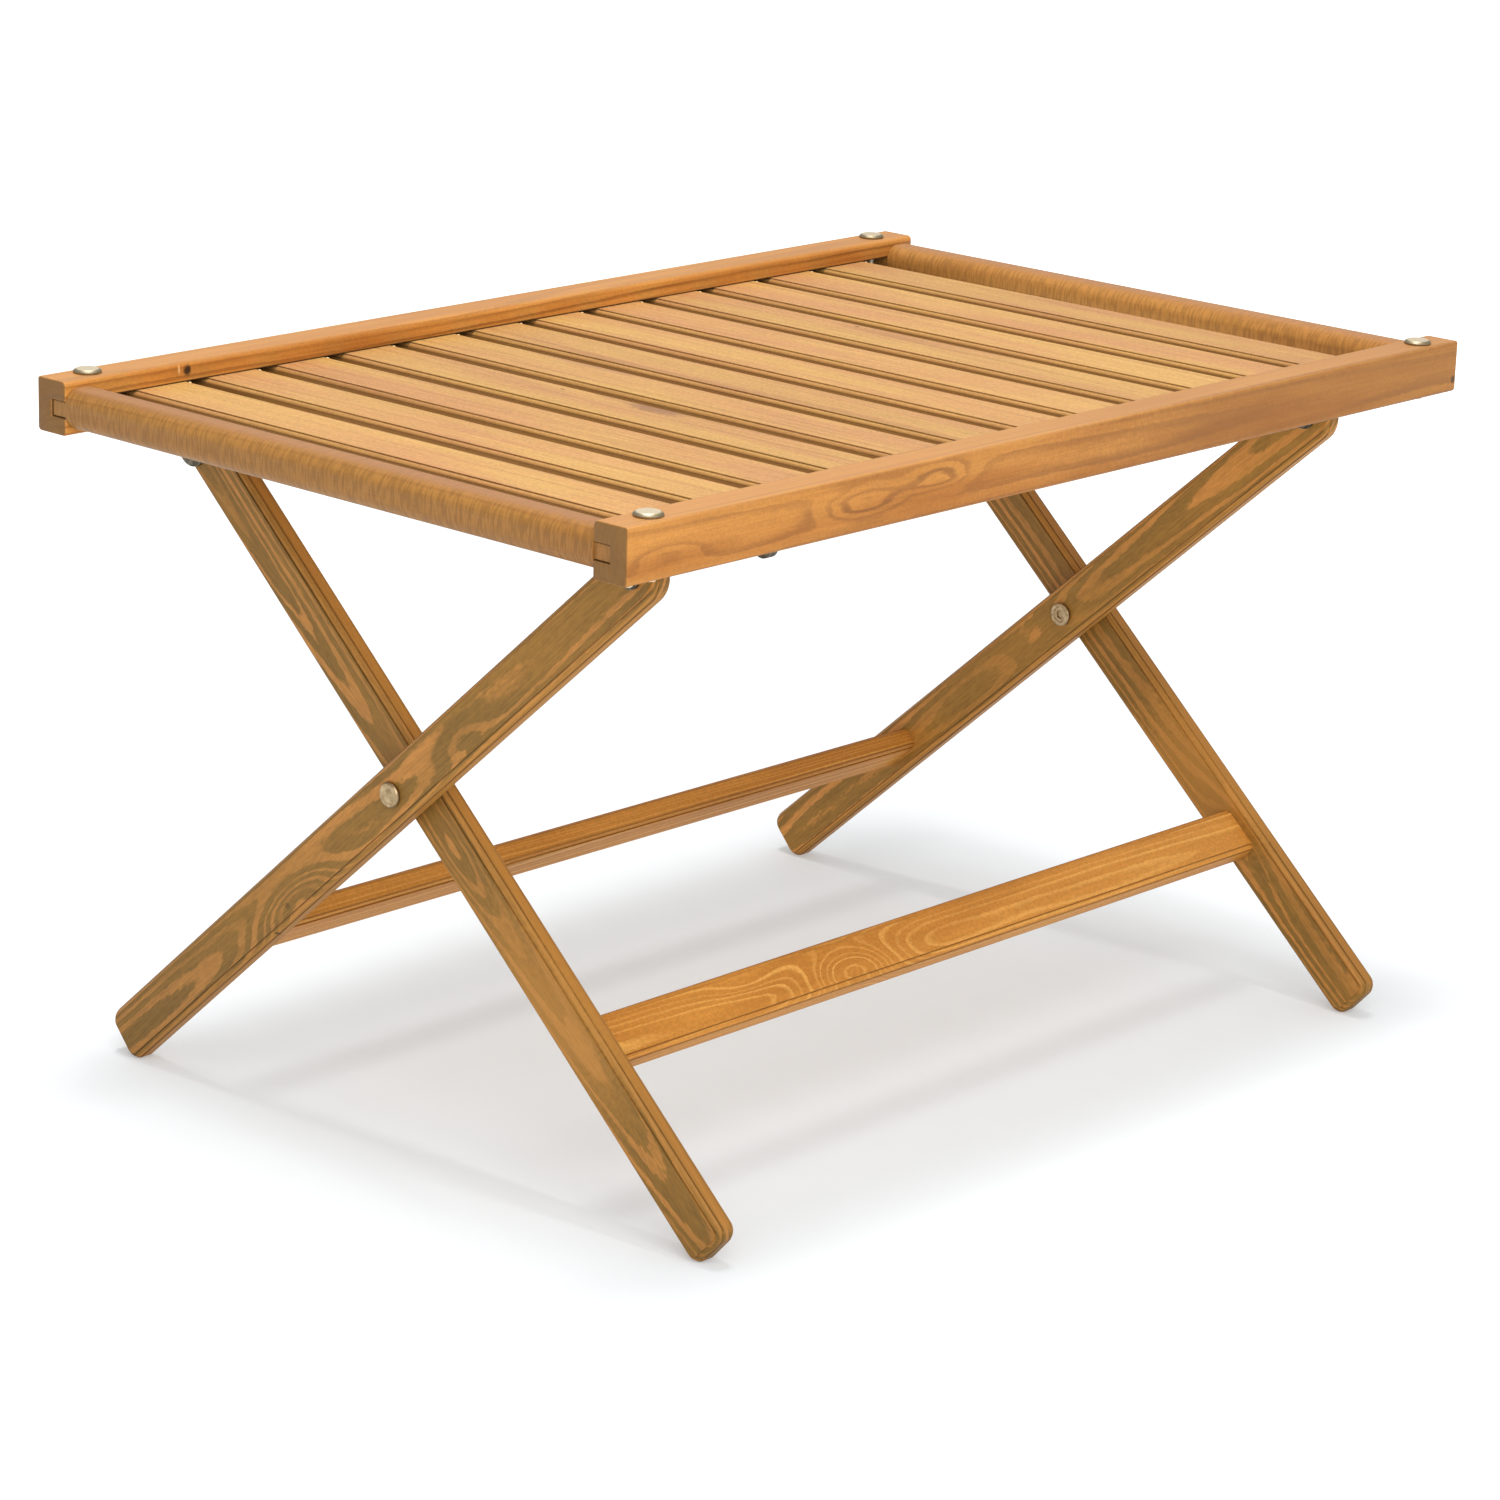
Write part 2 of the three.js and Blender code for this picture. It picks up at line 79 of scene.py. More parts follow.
def filletLoop(corners, radii, arcRows=5, flatRows=6, support=0.7 * mm):
    # Each corner P becomes an arc of radius r that touches both sides: it starts r / tan(half angle) from P
    # and turns about P + bisector * r / sin(half angle). The straights between arcs are split with a row
    # close to each arc.
    corners = np.asarray(corners, float)
    radii = np.broadcast_to(np.asarray(radii, float), len(corners))
    before = np.roll(corners, 1, axis=0) - corners
    after = np.roll(corners, -1, axis=0) - corners
    before /= np.linalg.norm(before, axis=1, keepdims=True)
    after /= np.linalg.norm(after, axis=1, keepdims=True)
    half = np.arccos(np.clip((before * after).sum(1), -1, 1)) / 2
    bisector = before + after
    bisector /= np.linalg.norm(bisector, axis=1, keepdims=True)
    centre = corners + bisector * (radii / np.sin(half))[:, None]
    start = corners + before * (radii / np.tan(half))[:, None] - centre
    end = corners + after * (radii / np.tan(half))[:, None] - centre
    sweep = np.linspace(0, 1, arcRows + 1)[None, :, None]
    turn = (math.pi - 2 * half)[:, None, None]
    arcs = centre[:, None] + (
        start[:, None] * np.sin((1 - sweep) * turn) + end[:, None] * np.sin(sweep * turn)
    ) / np.sin(turn)
    fromPoint = arcs[:, -1]
    toPoint = np.roll(arcs[:, 0], -1, axis=0)
    span = np.linalg.norm(toPoint - fromPoint, axis=1)[:, None]
    near = np.minimum(support / np.maximum(span, 1e-6), 0.2)
    inner = near + (1 - 2 * near) * np.linspace(0, 1, flatRows)[None]
    flats = fromPoint[:, None] + (toPoint - fromPoint)[:, None] * inner[..., None]
    return np.concatenate([arcs, flats], axis=1).reshape(-1, 2)


def rectangle(width, height, inset=0.0):
    a, b = width / 2 - inset, height / 2 - inset
    return [(-a, -b), (a, -b), (a, b), (-a, b)]


def mouldedCorner(mould):
    # From the wide face to the narrow face: a ledge straight down, a quarter of an ellipse that is
    # roundAcross * sin t across and roundDown * (1 - cos t) down, and a lip out to the narrow face.
    t = np.linspace(0, math.pi / 2, 7)
    inset = mould["lip"] + mould["roundAcross"] * (1 - np.sin(t))
    drop = mould["ledge"] + mould["roundDown"] * (1 - np.cos(t))
    return np.concatenate([inset[:1], inset, [0]]), np.concatenate([[0], drop, drop[-1:]])


def mouldedLoop(width, thick, mould, flatRows=9):
    # The moulded corner is mirrored to the four corners, counter-clockwise from the lower left one, and
    # each straight is split evenly.
    inset, drop = mouldedCorner(mould)
    v, w = width / 2 - inset, thick / 2 - drop
    corners = [(-v[::-1], -w[::-1]), (v, -w), (v[::-1], w[::-1]), (-v, w)]
    corners = np.array([np.column_stack(corner) for corner in corners])
    share = np.linspace(0, 1, flatRows + 2)[1:-1, None]
    start, end = corners[:, -1:], np.roll(corners[:, :1], -1, axis=0)
    return np.concatenate([corners, start * (1 - share) + end * share], axis=1).reshape(-1, 2)


def easedEnds(length, ease, rows=4, along=40):
    # Quarter circle at each end: at angle t the station is ease * (1 - cos t) in and the section is
    # drawn in by ease * (1 - sin t).
    t = np.linspace(0, math.pi / 2, rows + 1)
    lead, inset = ease * (1 - np.cos(t)), ease * (1 - np.sin(t))
    middle = np.linspace(ease, length - ease, along)[1:-1]
    stations = np.concatenate([lead, middle, length - lead[::-1]])
    insets = np.concatenate([inset, np.zeros(len(middle)), inset[::-1]])
    return stations, insets


def carried(sections, stations):
    # A closed section (v, w) is repeated at each station u along a straight path.
    rings = np.stack([
        np.column_stack([np.full(len(section), u), section]) for section, u in zip(sections, stations)
    ])
    return np.concatenate([rings, rings[:, :1]], axis=1)


def turnedRings(profile, sides=48, sixSided=()):
    # Point (radius, height) at angle a lies at (radius cos a, radius sin a, height). Rows listed in
    # sixSided have the radius of a hexagon: r / cos(distance of a from the middle of its side).
    angle = np.linspace(0, 2 * math.pi, sides + 1)
    profile = np.asarray(profile, float)
    radius = np.repeat(profile[:, :1], sides + 1, axis=1)
    flat = np.cos((angle + math.pi / 6) % (math.pi / 3) - math.pi / 6)
    for row in sixSided:
        radius[row] = radius[row] / flat
    height = np.repeat(profile[:, 1:], sides + 1, axis=1)
    return np.stack([radius * np.cos(angle), radius * np.sin(angle), height], -1)


def newMesh(name, patches, origin, axes, fill=True, sharp=32):
    # Grid patches in (u, v, w) are placed at origin + u U + v V + w W, joined where they touch, and
    # any open end is closed flat.
    origin, axes = np.asarray(origin, float), np.asarray(axes, float)
    points, quads, count = [], [], 0
    for patch in patches:
        rows, columns = patch.shape[:2]
        index = np.arange(rows * columns).reshape(rows, columns) + count
        corner = [index[:-1, :-1], index[1:, :-1], index[1:, 1:], index[:-1, 1:]]
        quads.append(np.stack(corner, -1).reshape(-1, 4))
        points.append(patch.reshape(-1, 3) @ axes + origin)
        count += rows * columns
    mesh = bpy.data.meshes.new(name)
    mesh.from_pydata(np.concatenate(points), [], np.concatenate(quads))
    work = bmesh.new()
    work.from_mesh(mesh)
    bmesh.ops.remove_doubles(work, verts=work.verts, dist=2e-6)
    if fill:
        bmesh.ops.holes_fill(work, edges=[edge for edge in work.edges if edge.is_boundary], sides=0)
    bmesh.ops.recalc_face_normals(work, faces=work.faces)
    work.to_mesh(mesh)
    work.free()
    mesh.shade_smooth()
    mesh.set_sharp_from_angle(angle=math.radians(sharp))
    return mesh


def addLayer(mesh, name, values):
    kind = "FLOAT_VECTOR" if values.ndim == 2 else "FLOAT"
    layer = mesh.attributes.new(name, kind, "POINT")
    layer.data.foreach_set("vector" if values.ndim == 2 else "value", values.astype(np.float32).ravel())


def vertexPoints(mesh):
    points = np.empty(len(mesh.vertices) * 3, np.float32)
    mesh.vertices.foreach_get("co", points)
    return points.reshape(-1, 3).astype(float)


def addGrain(mesh, origin, axes, wood, size, mould=None):
    # Log coordinates: length along the trunk, then two across it, measured from the pith, which may
    # lean against the piece. A swell adds a round hill to the ring distance, so the rings close round
    # it; swellAxis says whether the hill is laid out across the width (1) or the height (2).
    # On a moulded piece the crease value, a painted shade, falls with the distance from the foot of the
    # ledge and of the lip.
    local = (vertexPoints(mesh) - origin) @ np.asarray(axes, float).T
    u, v, w = local.T
    cosine, sine = math.cos(wood["roll"]), math.sin(wood["roll"])
    across = v * cosine - w * sine + wood["pith"][0] + wood["lean"][0] * u
    through = v * sine + w * cosine + wood["pith"][1] + wood["lean"][1] * u
    addLayer(mesh, "grain", np.column_stack([u + wood["shift"], across, through]))
    swell = np.zeros(len(local))
    swellFace = local[:, wood.get("swellAxis", 1)]
    for alongAt, acrossAt, long, wide, tall in wood.get("swells", ()):
        swell += tall * np.exp(-((u - alongAt) / long) ** 2 - ((swellFace - acrossAt) / wide) ** 2)
    addLayer(mesh, "swell", swell)
    edge = np.stack([size[1] / 2 - np.abs(v), size[2] / 2 - np.abs(w)])
    # The rim value marks the edges, where the wood gets a painted highlight.
    rim = np.exp(-edge.sum(0) / (2.2 * mm))
    addLayer(mesh, "rim", np.clip(rim, 0, 1))
    tip = np.clip(1 - (size[0] / 2 - np.abs(u - wood.get("middle", 0.0))) / (0.6 * mm), 0, 1)
    addLayer(mesh, "tip", tip)
    # side marks the faces across the width: painted shade on the slats' sides; on the legs' narrow faces
    # partly their own plainer orange, partly painted light.
    addLayer(mesh, "side", np.clip(1 - edge[0] / (3.2 * mm), 0, 1))
    # upper marks the top, where the rails get a painted sheen.
    addLayer(mesh, "upper", np.clip(1 - (size[2] / 2 - w) / (2.0 * mm), 0, 1))
    if mould:
        ledge = [mould["lip"] + mould["roundAcross"], mould["ledge"]]
        lip = [mould["lip"], mould["ledge"] + mould["roundDown"]]
        reach = [np.hypot(edge[0] - inward, edge[1] - down) for inward, down in (ledge, lip)]
        addLayer(mesh, "recessShade", np.clip(1 - np.minimum(*reach) / (0.9 * mm), 0, 1))
    addLayer(mesh, "tint", np.full(len(local), wood.get("tint", 0.5)))


def addPiece(name, mesh, material, slotName, bodyName, *nodes):
    piece = bpy.data.objects.new(name, mesh)
    bpy.context.scene.collection.objects.link(piece)
    mesh.materials.append(material)
    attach(piece, bodyName)
    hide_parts(*nodes)
    return piece


def feed(tree, socket, value):
    if isinstance(value, bpy.types.NodeSocket):
        tree.links.new(value, socket)
    else:
        socket.default_value = value


def calc(tree, operation, *values, clamp=False):
    node = tree.nodes.new("ShaderNodeMath")
    node.operation = operation
    node.use_clamp = clamp
    for socket, value in zip(node.inputs, values):
        feed(tree, socket, value)
    return node.outputs[0]


def vectorCalc(tree, operation, *values):
    node = tree.nodes.new("ShaderNodeVectorMath")
    node.operation = operation
    for socket, value in zip(node.inputs, values):
        feed(tree, socket, value)
    return node.outputs["Value"] if operation in ("LENGTH", "DOT_PRODUCT") else node.outputs[0]


def noise(tree, vector, detail=2.0, roughness=0.5, kind="3D"):
    node = tree.nodes.new("ShaderNodeTexNoise")
    node.noise_dimensions = kind
    feed(tree, node.inputs["W" if kind == "1D" else "Vector"], vector)
    node.inputs["Scale"].default_value = 1.0
    node.inputs["Detail"].default_value = detail
    node.inputs["Roughness"].default_value = roughness
    return node.outputs[0]


def scaled(tree, vector, size):
    return vectorCalc(tree, "MULTIPLY", vector, size)


def step(tree, value, low, high, toLow=0.0, toHigh=1.0, smooth=True):
    node = tree.nodes.new("ShaderNodeMapRange")
    node.interpolation_type = "SMOOTHSTEP" if smooth else "LINEAR"
    for socket, given in zip(node.inputs, (value, low, high, toLow, toHigh)):
        feed(tree, socket, given)
    return node.outputs[0]


def mixColour(tree, factor, first, second, blendType="MIX"):
    node = tree.nodes.new("ShaderNodeMix")
    node.data_type = "RGBA"
    node.blend_type = blendType
    feed(tree, node.inputs[0], factor)
    feed(tree, node.inputs[6], first)
    feed(tree, node.inputs[7], second)
    return node.outputs[2]


def newGroup(name, inputs, outputs):
    tree = bpy.data.node_groups.new(name, "ShaderNodeTree")
    for socketName, kind in inputs:
        tree.interface.new_socket(name=socketName, in_out="INPUT", socket_type="NodeSocket" + kind)
    for socketName, kind in outputs:
        tree.interface.new_socket(name=socketName, in_out="OUTPUT", socket_type="NodeSocket" + kind)
    return tree, tree.nodes.new("NodeGroupInput").outputs, tree.nodes.new("NodeGroupOutput").inputs


def useGroup(tree, group, values):
    node = tree.nodes.new("ShaderNodeGroup")
    node.node_tree = group
    for name, value in values.items():
        feed(tree, node.inputs[name], value)
    return node.outputs


def attribute(tree, name, output="Fac"):
    node = tree.nodes.new("ShaderNodeAttribute")
    node.attribute_name = name
    return node.outputs[output]


def makeWoodGroup():
    tree, given, result = newGroup(
        "woodGrain",
        [("Grain", "Vector"), ("Swell", "Float"), ("Ring Gap", "Float"), ("Waver", "Float"),
         ("Early", "Color"), ("Middle", "Color"), ("Late", "Color"), ("Late Amount", "Float"),
         ("Fibre Amount", "Float"), ("Patch Amount", "Float"),
         ("Line Low", "Float"), ("Line High", "Float"),
         ("Chatter", "Float"), ("Chatter Size", "Vector")],
        [("Color", "Color"), ("Late Mask", "Float"), ("Height", "Float")],
    )
    grain = given["Grain"]
    flat = tree.nodes.new("ShaderNodeSeparateXYZ")
    feed(tree, flat.inputs[0], grain)
    slow = calc(tree, "SUBTRACT", noise(tree, scaled(tree, grain, (3.2, 14, 14)), 1.0), 0.5)
    quick = calc(tree, "SUBTRACT", noise(tree, scaled(tree, grain, (14, 75, 75)), 2.0), 0.5)
    bend = calc(tree, "ADD", calc(tree, "MULTIPLY", slow, 5.0), calc(tree, "MULTIPLY", quick, 1.0))
    across = vectorCalc(tree, "LENGTH", scaled(tree, grain, (0, 1, 1)))
    jag = calc(tree, "SUBTRACT", noise(tree, scaled(tree, grain, (150, 420, 420)), 2.0), 0.5)
    bend = calc(tree, "MULTIPLY_ADD", jag, 0.45, bend)
    distance = calc(tree, "ADD", calc(tree, "MULTIPLY_ADD", bend, given["Waver"], across), given["Swell"])
    phase = calc(tree, "DIVIDE", distance, given["Ring Gap"])
    uneven = noise(tree, calc(tree, "MULTIPLY", phase, 0.45), 1.0, kind="1D")
    phase = calc(tree, "MULTIPLY_ADD", uneven, 1.6, phase)
    saw = calc(tree, "FRACT", phase)
    rise = step(tree, saw, given["Line Low"], given["Line High"])
    fall = step(tree, saw, 0.9, 0.985, 1.0, 0.0)
    late = calc(tree, "MULTIPLY", calc(tree, "POWER", rise, 1.6), fall)
    year = noise(tree, calc(tree, "MULTIPLY", calc(tree, "FLOOR", phase), 7.31), 0.0, kind="1D")
    late = calc(tree, "MULTIPLY", late, step(tree, year, 0.25, 0.7, 0.35, 1.0))
    fade = noise(tree, scaled(tree, grain, (5, 40, 40)), 2.0)
    late = calc(tree, "MULTIPLY", late, step(tree, fade, 0.3, 0.62, 0.45, 1.0))
    fibre = noise(tree, scaled(tree, grain, (11, 1100, 1100)), 3.0, 0.6)
    thread = noise(tree, scaled(tree, grain, (45, 2600, 2600)), 2.0, 0.6)
    dash = step(tree, thread, 0.62, 0.74)
    patches = step(tree, noise(tree, scaled(tree, grain, (4.5, 34, 34)), 3.0), 0.35, 0.68)
    base = mixColour(tree, calc(tree, "MULTIPLY", patches, given["Patch Amount"], clamp=True),
                     given["Early"], given["Middle"])
    lateMask = calc(tree, "MULTIPLY", late, given["Late Amount"], clamp=True)
    colour = mixColour(tree, lateMask, base, given["Late"])
    streak = calc(tree, "MULTIPLY", calc(tree, "SUBTRACT", fibre, 0.5), given["Fibre Amount"])
    bright = calc(tree, "ADD", 1.0, streak)
    pores = calc(tree, "MULTIPLY", given["Fibre Amount"], 0.28)
    bright = calc(tree, "SUBTRACT", bright, calc(tree, "MULTIPLY", dash, pores))
    fleck = step(tree, noise(tree, scaled(tree, grain, given["Chatter Size"]), 1.0), 0.38, 0.62)
    bright = calc(tree, "SUBTRACT", bright, calc(tree, "MULTIPLY", fleck, given["Chatter"]))
    tone = tree.nodes.new("ShaderNodeCombineColor")
    for socket in tone.inputs:
        feed(tree, socket, bright)
    colour = mixColour(tree, 1.0, colour, tone.outputs[0], "MULTIPLY")
    feed(tree, result["Color"], colour)
    feed(tree, result["Late Mask"], lateMask)
    height = calc(tree, "MULTIPLY_ADD", lateMask, 0.5, calc(tree, "MULTIPLY", fibre, 0.6))
    feed(tree, result["Height"], calc(tree, "SUBTRACT", height, calc(tree, "MULTIPLY", dash, 0.3)))
    return tree


def makeRimGroup():
    # Painted edge highlight: the rim value, broken up by noise, lightens the colour towards the highlight
    # colour, standing in for light caught on the arrises.
    tree, given, result = newGroup(
        "edgeHighlights",
        [("Place", "Vector"), ("Rim", "Float"), ("Color", "Color"), ("Highlight", "Color"), ("Amount", "Float")],
        [("Color", "Color"), ("Mask", "Float")],
    )
    broken = noise(tree, scaled(tree, given["Place"], (160, 160, 160)), 3.0)
    mask = calc(tree, "MULTIPLY", given["Rim"], step(tree, broken, 0.35, 0.7))
    mask = calc(tree, "MULTIPLY", mask, given["Amount"], clamp=True)
    feed(tree, result["Color"], mixColour(tree, mask, given["Color"], given["Highlight"]))
    feed(tree, result["Mask"], mask)
    return tree


def makeSpotGroup():
    # A soft spot, for knots and for painted shade: the mask falls from 1 to 0 with the distance from
    # Centre, measured in Size.
    tree, given, result = newGroup(
        "knotAndShadeSpot",
        [("Place", "Vector"), ("Centre", "Vector"), ("Size", "Vector"), ("Color", "Color"),
         ("Spot", "Color"),
         ("Amount", "Float")],
        [("Color", "Color"), ("Mask", "Float")],
    )
    fromCentre = vectorCalc(tree, "SUBTRACT", given["Place"], given["Centre"])
    offset = vectorCalc(tree, "DIVIDE", fromCentre, given["Size"])
    ragged = calc(tree, "MULTIPLY", noise(tree, scaled(tree, given["Place"], (300, 300, 300)), 3.0), 0.7)
    distance = calc(tree, "ADD", vectorCalc(tree, "LENGTH", offset), ragged)
    mask = calc(tree, "MULTIPLY", step(tree, distance, 0.75, 1.35, 1.0, 0.0), given["Amount"])
    feed(tree, result["Color"], mixColour(tree, mask, given["Color"], given["Spot"]))
    feed(tree, result["Mask"], mask)
    return tree


woodGrain = makeWoodGroup()
edgeHighlights = makeRimGroup()
knotAndShadeSpot = makeSpotGroup()


def newMaterial(name):
    material = bpy.data.materials.new(name)
    material.use_nodes = True
    tree = material.node_tree
    return material, tree, tree.nodes["Principled BSDF"]


def woodMaterial(name, look):
    # Growth rings, then the piece's own tint, painted light and shade on the side and upper faces, painted
    # shade in creases and the groove, knots and painted shade patches, end grain and painted highlights on
    # the edges.
    material, tree, surface = newMaterial(name)
    grain = attribute(tree, "grain", "Vector")
    wood = useGroup(tree, woodGrain, {
        "Grain": grain, "Swell": attribute(tree, "swell"), "Ring Gap": look["ringGap"],
        "Waver": look["waver"], "Early": look["early"], "Middle": look["middle"], "Late": look["late"],
        "Late Amount": look["lateAmount"], "Fibre Amount": look["fibre"], "Patch Amount": look["patch"],
        "Line Low": look["line"][0], "Line High": look["line"][1],
        "Chatter": look["chatter"], "Chatter Size": look["chatterSize"],
    })
    tint = step(tree, attribute(tree, "tint"), 0.0, 1.0, look["tintLow"], look["tintHigh"], smooth=False)
    tone = tree.nodes.new("ShaderNodeCombineColor")
    for socket in tone.inputs:
        feed(tree, socket, tint)
    colour = mixColour(tree, 1.0, wood["Color"], tone.outputs[0], "MULTIPLY")
    # These face values lay painted light and shade: side faces lightened or darkened, a sheen on top, shade
    # in creases and the groove.
    for face in ("side", "upper", "recessShade"):
        if face in look:
            amount = calc(tree, "MULTIPLY", attribute(tree, face), look[face][1])
            colour = mixColour(tree, amount, colour, look[face][0])
    place = tree.nodes.new("ShaderNodeTexCoord").outputs["Object"]
    for spotEntry in look.get("knotAndShadeSpots", ()):
        colour = useGroup(tree, knotAndShadeSpot, {
            "Place": place, "Centre": spotEntry["centre"], "Size": spotEntry["size"], "Color": colour,
            "Spot": spotEntry["colour"], "Amount": spotEntry["amount"],
        })["Color"]
    endGrain = calc(tree, "MULTIPLY", attribute(tree, "tip"), look["endAmount"])
    colour = mixColour(tree, endGrain, colour, look["endGrain"])
    # Painted highlight along the edges, laid where the rim value is high.
    edgeHighlight = useGroup(tree, edgeHighlights, {
        "Place": grain, "Rim": attribute(tree, "rim"), "Color": colour, "Highlight": look["edgeHighlight"],
        "Amount": look["edgeHighlightAmount"],
    })
    feed(tree, surface.inputs["Base Color"], edgeHighlight["Color"])
    rough = step(tree, wood["Late Mask"], 0.0, 1.0, look["rough"], look["rough"] - 0.1)
    feed(tree, surface.inputs["Roughness"], rough)
    surface.inputs["Specular IOR Level"].default_value = 0.22
    bump = tree.nodes.new("ShaderNodeBump")
    bump.inputs["Strength"].default_value = 0.35
    bump.inputs["Distance"].default_value = 0.25 * mm
    feed(tree, bump.inputs["Height"], wood["Height"])
    feed(tree, surface.inputs["Normal"], bump.outputs[0])
    return material


knotAndShadeDark = (0.035, 0.016, 0.006, 1)
# In each look the edge colour and its amount give a painted highlight along the edges.
woodLooks = {
    "slat": {
        "ringGap": 3.2 * mm, "waver": 1.6 * mm, "early": (0.58, 0.33, 0.1, 1),
        "middle": (0.53, 0.26, 0.1, 1), "late": (0.33, 0.15, 0.045, 1), "lateAmount": 0.42,
        "line": (0.25, 0.86), "fibre": 0.6, "patch": 1.0,
        "chatter": 0.14, "chatterSize": (420, 520, 520), "rough": 0.5, "tintLow": 0.86, "tintHigh": 1.06,
        # The side colour is painted shade on the slats' sides in the gaps; the crease colour is painted
        # shade in the moulding's creases.
        "side": ((0.26, 0.11, 0.02, 1), 0.85), "recessShade": ((0.09, 0.038, 0.009, 1), 0.75),
        "endGrain": (0.26, 0.125, 0.036, 1), "endAmount": 0.5,
        "edgeHighlight": (0.55, 0.29, 0.08, 1), "edgeHighlightAmount": 0.1,
        "knotAndShadeSpots": [
            {"centre": (-0.1290, -0.018, 0.454), "size": (0.011, 0.03, 0.02),
             "colour": (0.22, 0.1, 0.055, 1), "amount": 0.7},
            {"centre": (-0.0650, 0.098, 0.454), "size": (0.009, 0.07, 0.02),
             "colour": (0.36, 0.17, 0.085, 1), "amount": 0.6},
            {"centre": (-0.1320, 0.062, 0.454), "size": (0.0016, 0.0024, 0.01),
             "colour": knotAndShadeDark, "amount": 0.6},
            {"centre": (0.1650, 0.075, 0.454), "size": (0.0018, 0.0026, 0.01),
             "colour": knotAndShadeDark, "amount": 0.7},
        ],
    },
    "rail": {
        "ringGap": 4.4 * mm, "waver": 2.0 * mm, "early": (0.51, 0.215, 0.042, 1),
        "middle": (0.36, 0.128, 0.02, 1), "late": (0.2, 0.068, 0.011, 1), "lateAmount": 0.75,
        "line": (0.4, 0.8), "fibre": 0.45, "patch": 1.0,
        "chatter": 0.09, "chatterSize": (430, 600, 600), "rough": 0.5, "tintLow": 0.85, "tintHigh": 1.28,
        # The upper colour is a painted sheen along the top; the crease colour is painted shade in the
        # groove that holds the slats.
        "upper": ((0.46, 0.24, 0.095, 1), 0.6), "recessShade": ((0.03, 0.014, 0.005, 1), 0.9),
        "endGrain": (0.14, 0.07, 0.018, 1), "endAmount": 0.85,
        "edgeHighlight": (0.5, 0.26, 0.06, 1), "edgeHighlightAmount": 0.35,
        "knotAndShadeSpots": [
            # A chip in the back rail's inner face: its hollow painted dark as painted shade, with a painted
            # highlight on its edge.
            {"centre": (-0.3007, 0.2305, 0.4612), "size": (0.0042, 0.004, 0.0052),
             "colour": knotAndShadeDark, "amount": 0.95},
            {"centre": (-0.3075, 0.2305, 0.4625), "size": (0.0012, 0.004, 0.0042),
             "colour": (0.8, 0.5, 0.22, 1), "amount": 0.7},
            # A long dark patch on the far part of the front rail: partly the wood's own colour, partly
            # painted shade for the light falling off.
            {"centre": (0.25, -0.257, 0.447), "size": (0.32, 0.006, 0.06),
             "colour": (0.22, 0.085, 0.018, 1), "amount": 0.42},
            {"centre": (0.3965, -0.257, 0.441), "size": (0.003, 0.004, 0.0035),
             "colour": knotAndShadeDark, "amount": 0.8},
        ],
    },
    "endRail": {
        "ringGap": 6.5 * mm, "waver": 1.4 * mm, "early": (0.33, 0.15, 0.033, 1),
        "middle": (0.28, 0.115, 0.024, 1), "late": (0.2, 0.078, 0.017, 1), "lateAmount": 0.4,
        "line": (0.2, 0.8), "fibre": 0.2, "patch": 0.8,
        "chatter": 0.24, "chatterSize": (620, 95, 95), "rough": 0.45, "tintLow": 0.9, "tintHigh": 1.35,
        # The upper colour is a painted sheen along the rounded top.
        "upper": ((0.36, 0.17, 0.075, 1), 0.6), "endGrain": (0.24, 0.12, 0.03, 1), "endAmount": 0.4,
        "edgeHighlight": (0.5, 0.24, 0.08, 1), "edgeHighlightAmount": 0.2,
    },
    "leg": {
        "ringGap": 3.9 * mm, "waver": 2.6 * mm, "early": (0.2, 0.102, 0.018, 1),
        "middle": (0.28, 0.135, 0.022, 1), "late": (0.48, 0.2, 0.04, 1), "lateAmount": 0.88,
        "line": (0.5, 0.6), "fibre": 0.7, "patch": 0.9,
        "chatter": 0.12, "chatterSize": (130, 520, 520), "rough": 0.55, "tintLow": 0.9, "tintHigh": 1.45,
        # The side colour lightens the narrow faces, partly their own plainer orange, partly painted light;
        # the crease colour is painted shade in the moulding's creases.
        "side": ((0.4, 0.175, 0.034, 1), 0.8), "recessShade": ((0.055, 0.024, 0.006, 1), 0.75),
        "endGrain": (0.16, 0.08, 0.018, 1), "endAmount": 0.6,
        "edgeHighlight": (0.46, 0.22, 0.05, 1), "edgeHighlightAmount": 0.35,
        "knotAndShadeSpots": [
            {"centre": (-0.3365, 0.0945, 0.1445), "size": (0.004, 0.0035, 0.003),
             "colour": knotAndShadeDark, "amount": 0.45},
            {"centre": (-0.334, 0.107, 0.122), "size": (0.004, 0.0022, 0.0022),
             "colour": knotAndShadeDark, "amount": 0.8},
            {"centre": (0.339, -0.11, 0.135), "size": (0.03, 0.09, 0.09),
             "colour": (0.47, 0.21, 0.038, 1), "amount": 0.55},
            {"centre": (-0.3285, -0.12, 0.12), "size": (0.03, 0.11, 0.11),
             "colour": (0.47, 0.21, 0.04, 1), "amount": 0.5},
        ],
    },
    "stretcher": {
        "ringGap": 2.7 * mm, "waver": 1.2 * mm, "early": (0.56, 0.235, 0.04, 1),
        "middle": (0.45, 0.175, 0.026, 1), "late": (0.72, 0.37, 0.085, 1), "lateAmount": 0.75,
        "line": (0.5, 0.8), "fibre": 0.35, "patch": 1.0,
        "chatter": 0.12, "chatterSize": (430, 480, 480), "rough": 0.5, "tintLow": 0.9, "tintHigh": 1.3,
        # The crease colour is painted shade in the moulding's creases.
        "recessShade": ((0.12, 0.045, 0.008, 1), 0.8), "endGrain": (0.2, 0.1, 0.025, 1), "endAmount": 0.5,
        "edgeHighlight": (0.56, 0.27, 0.06, 1), "edgeHighlightAmount": 0.3,
    },
}
woods = {name: woodMaterial(name + "Wood", look) for name, look in woodLooks.items()}


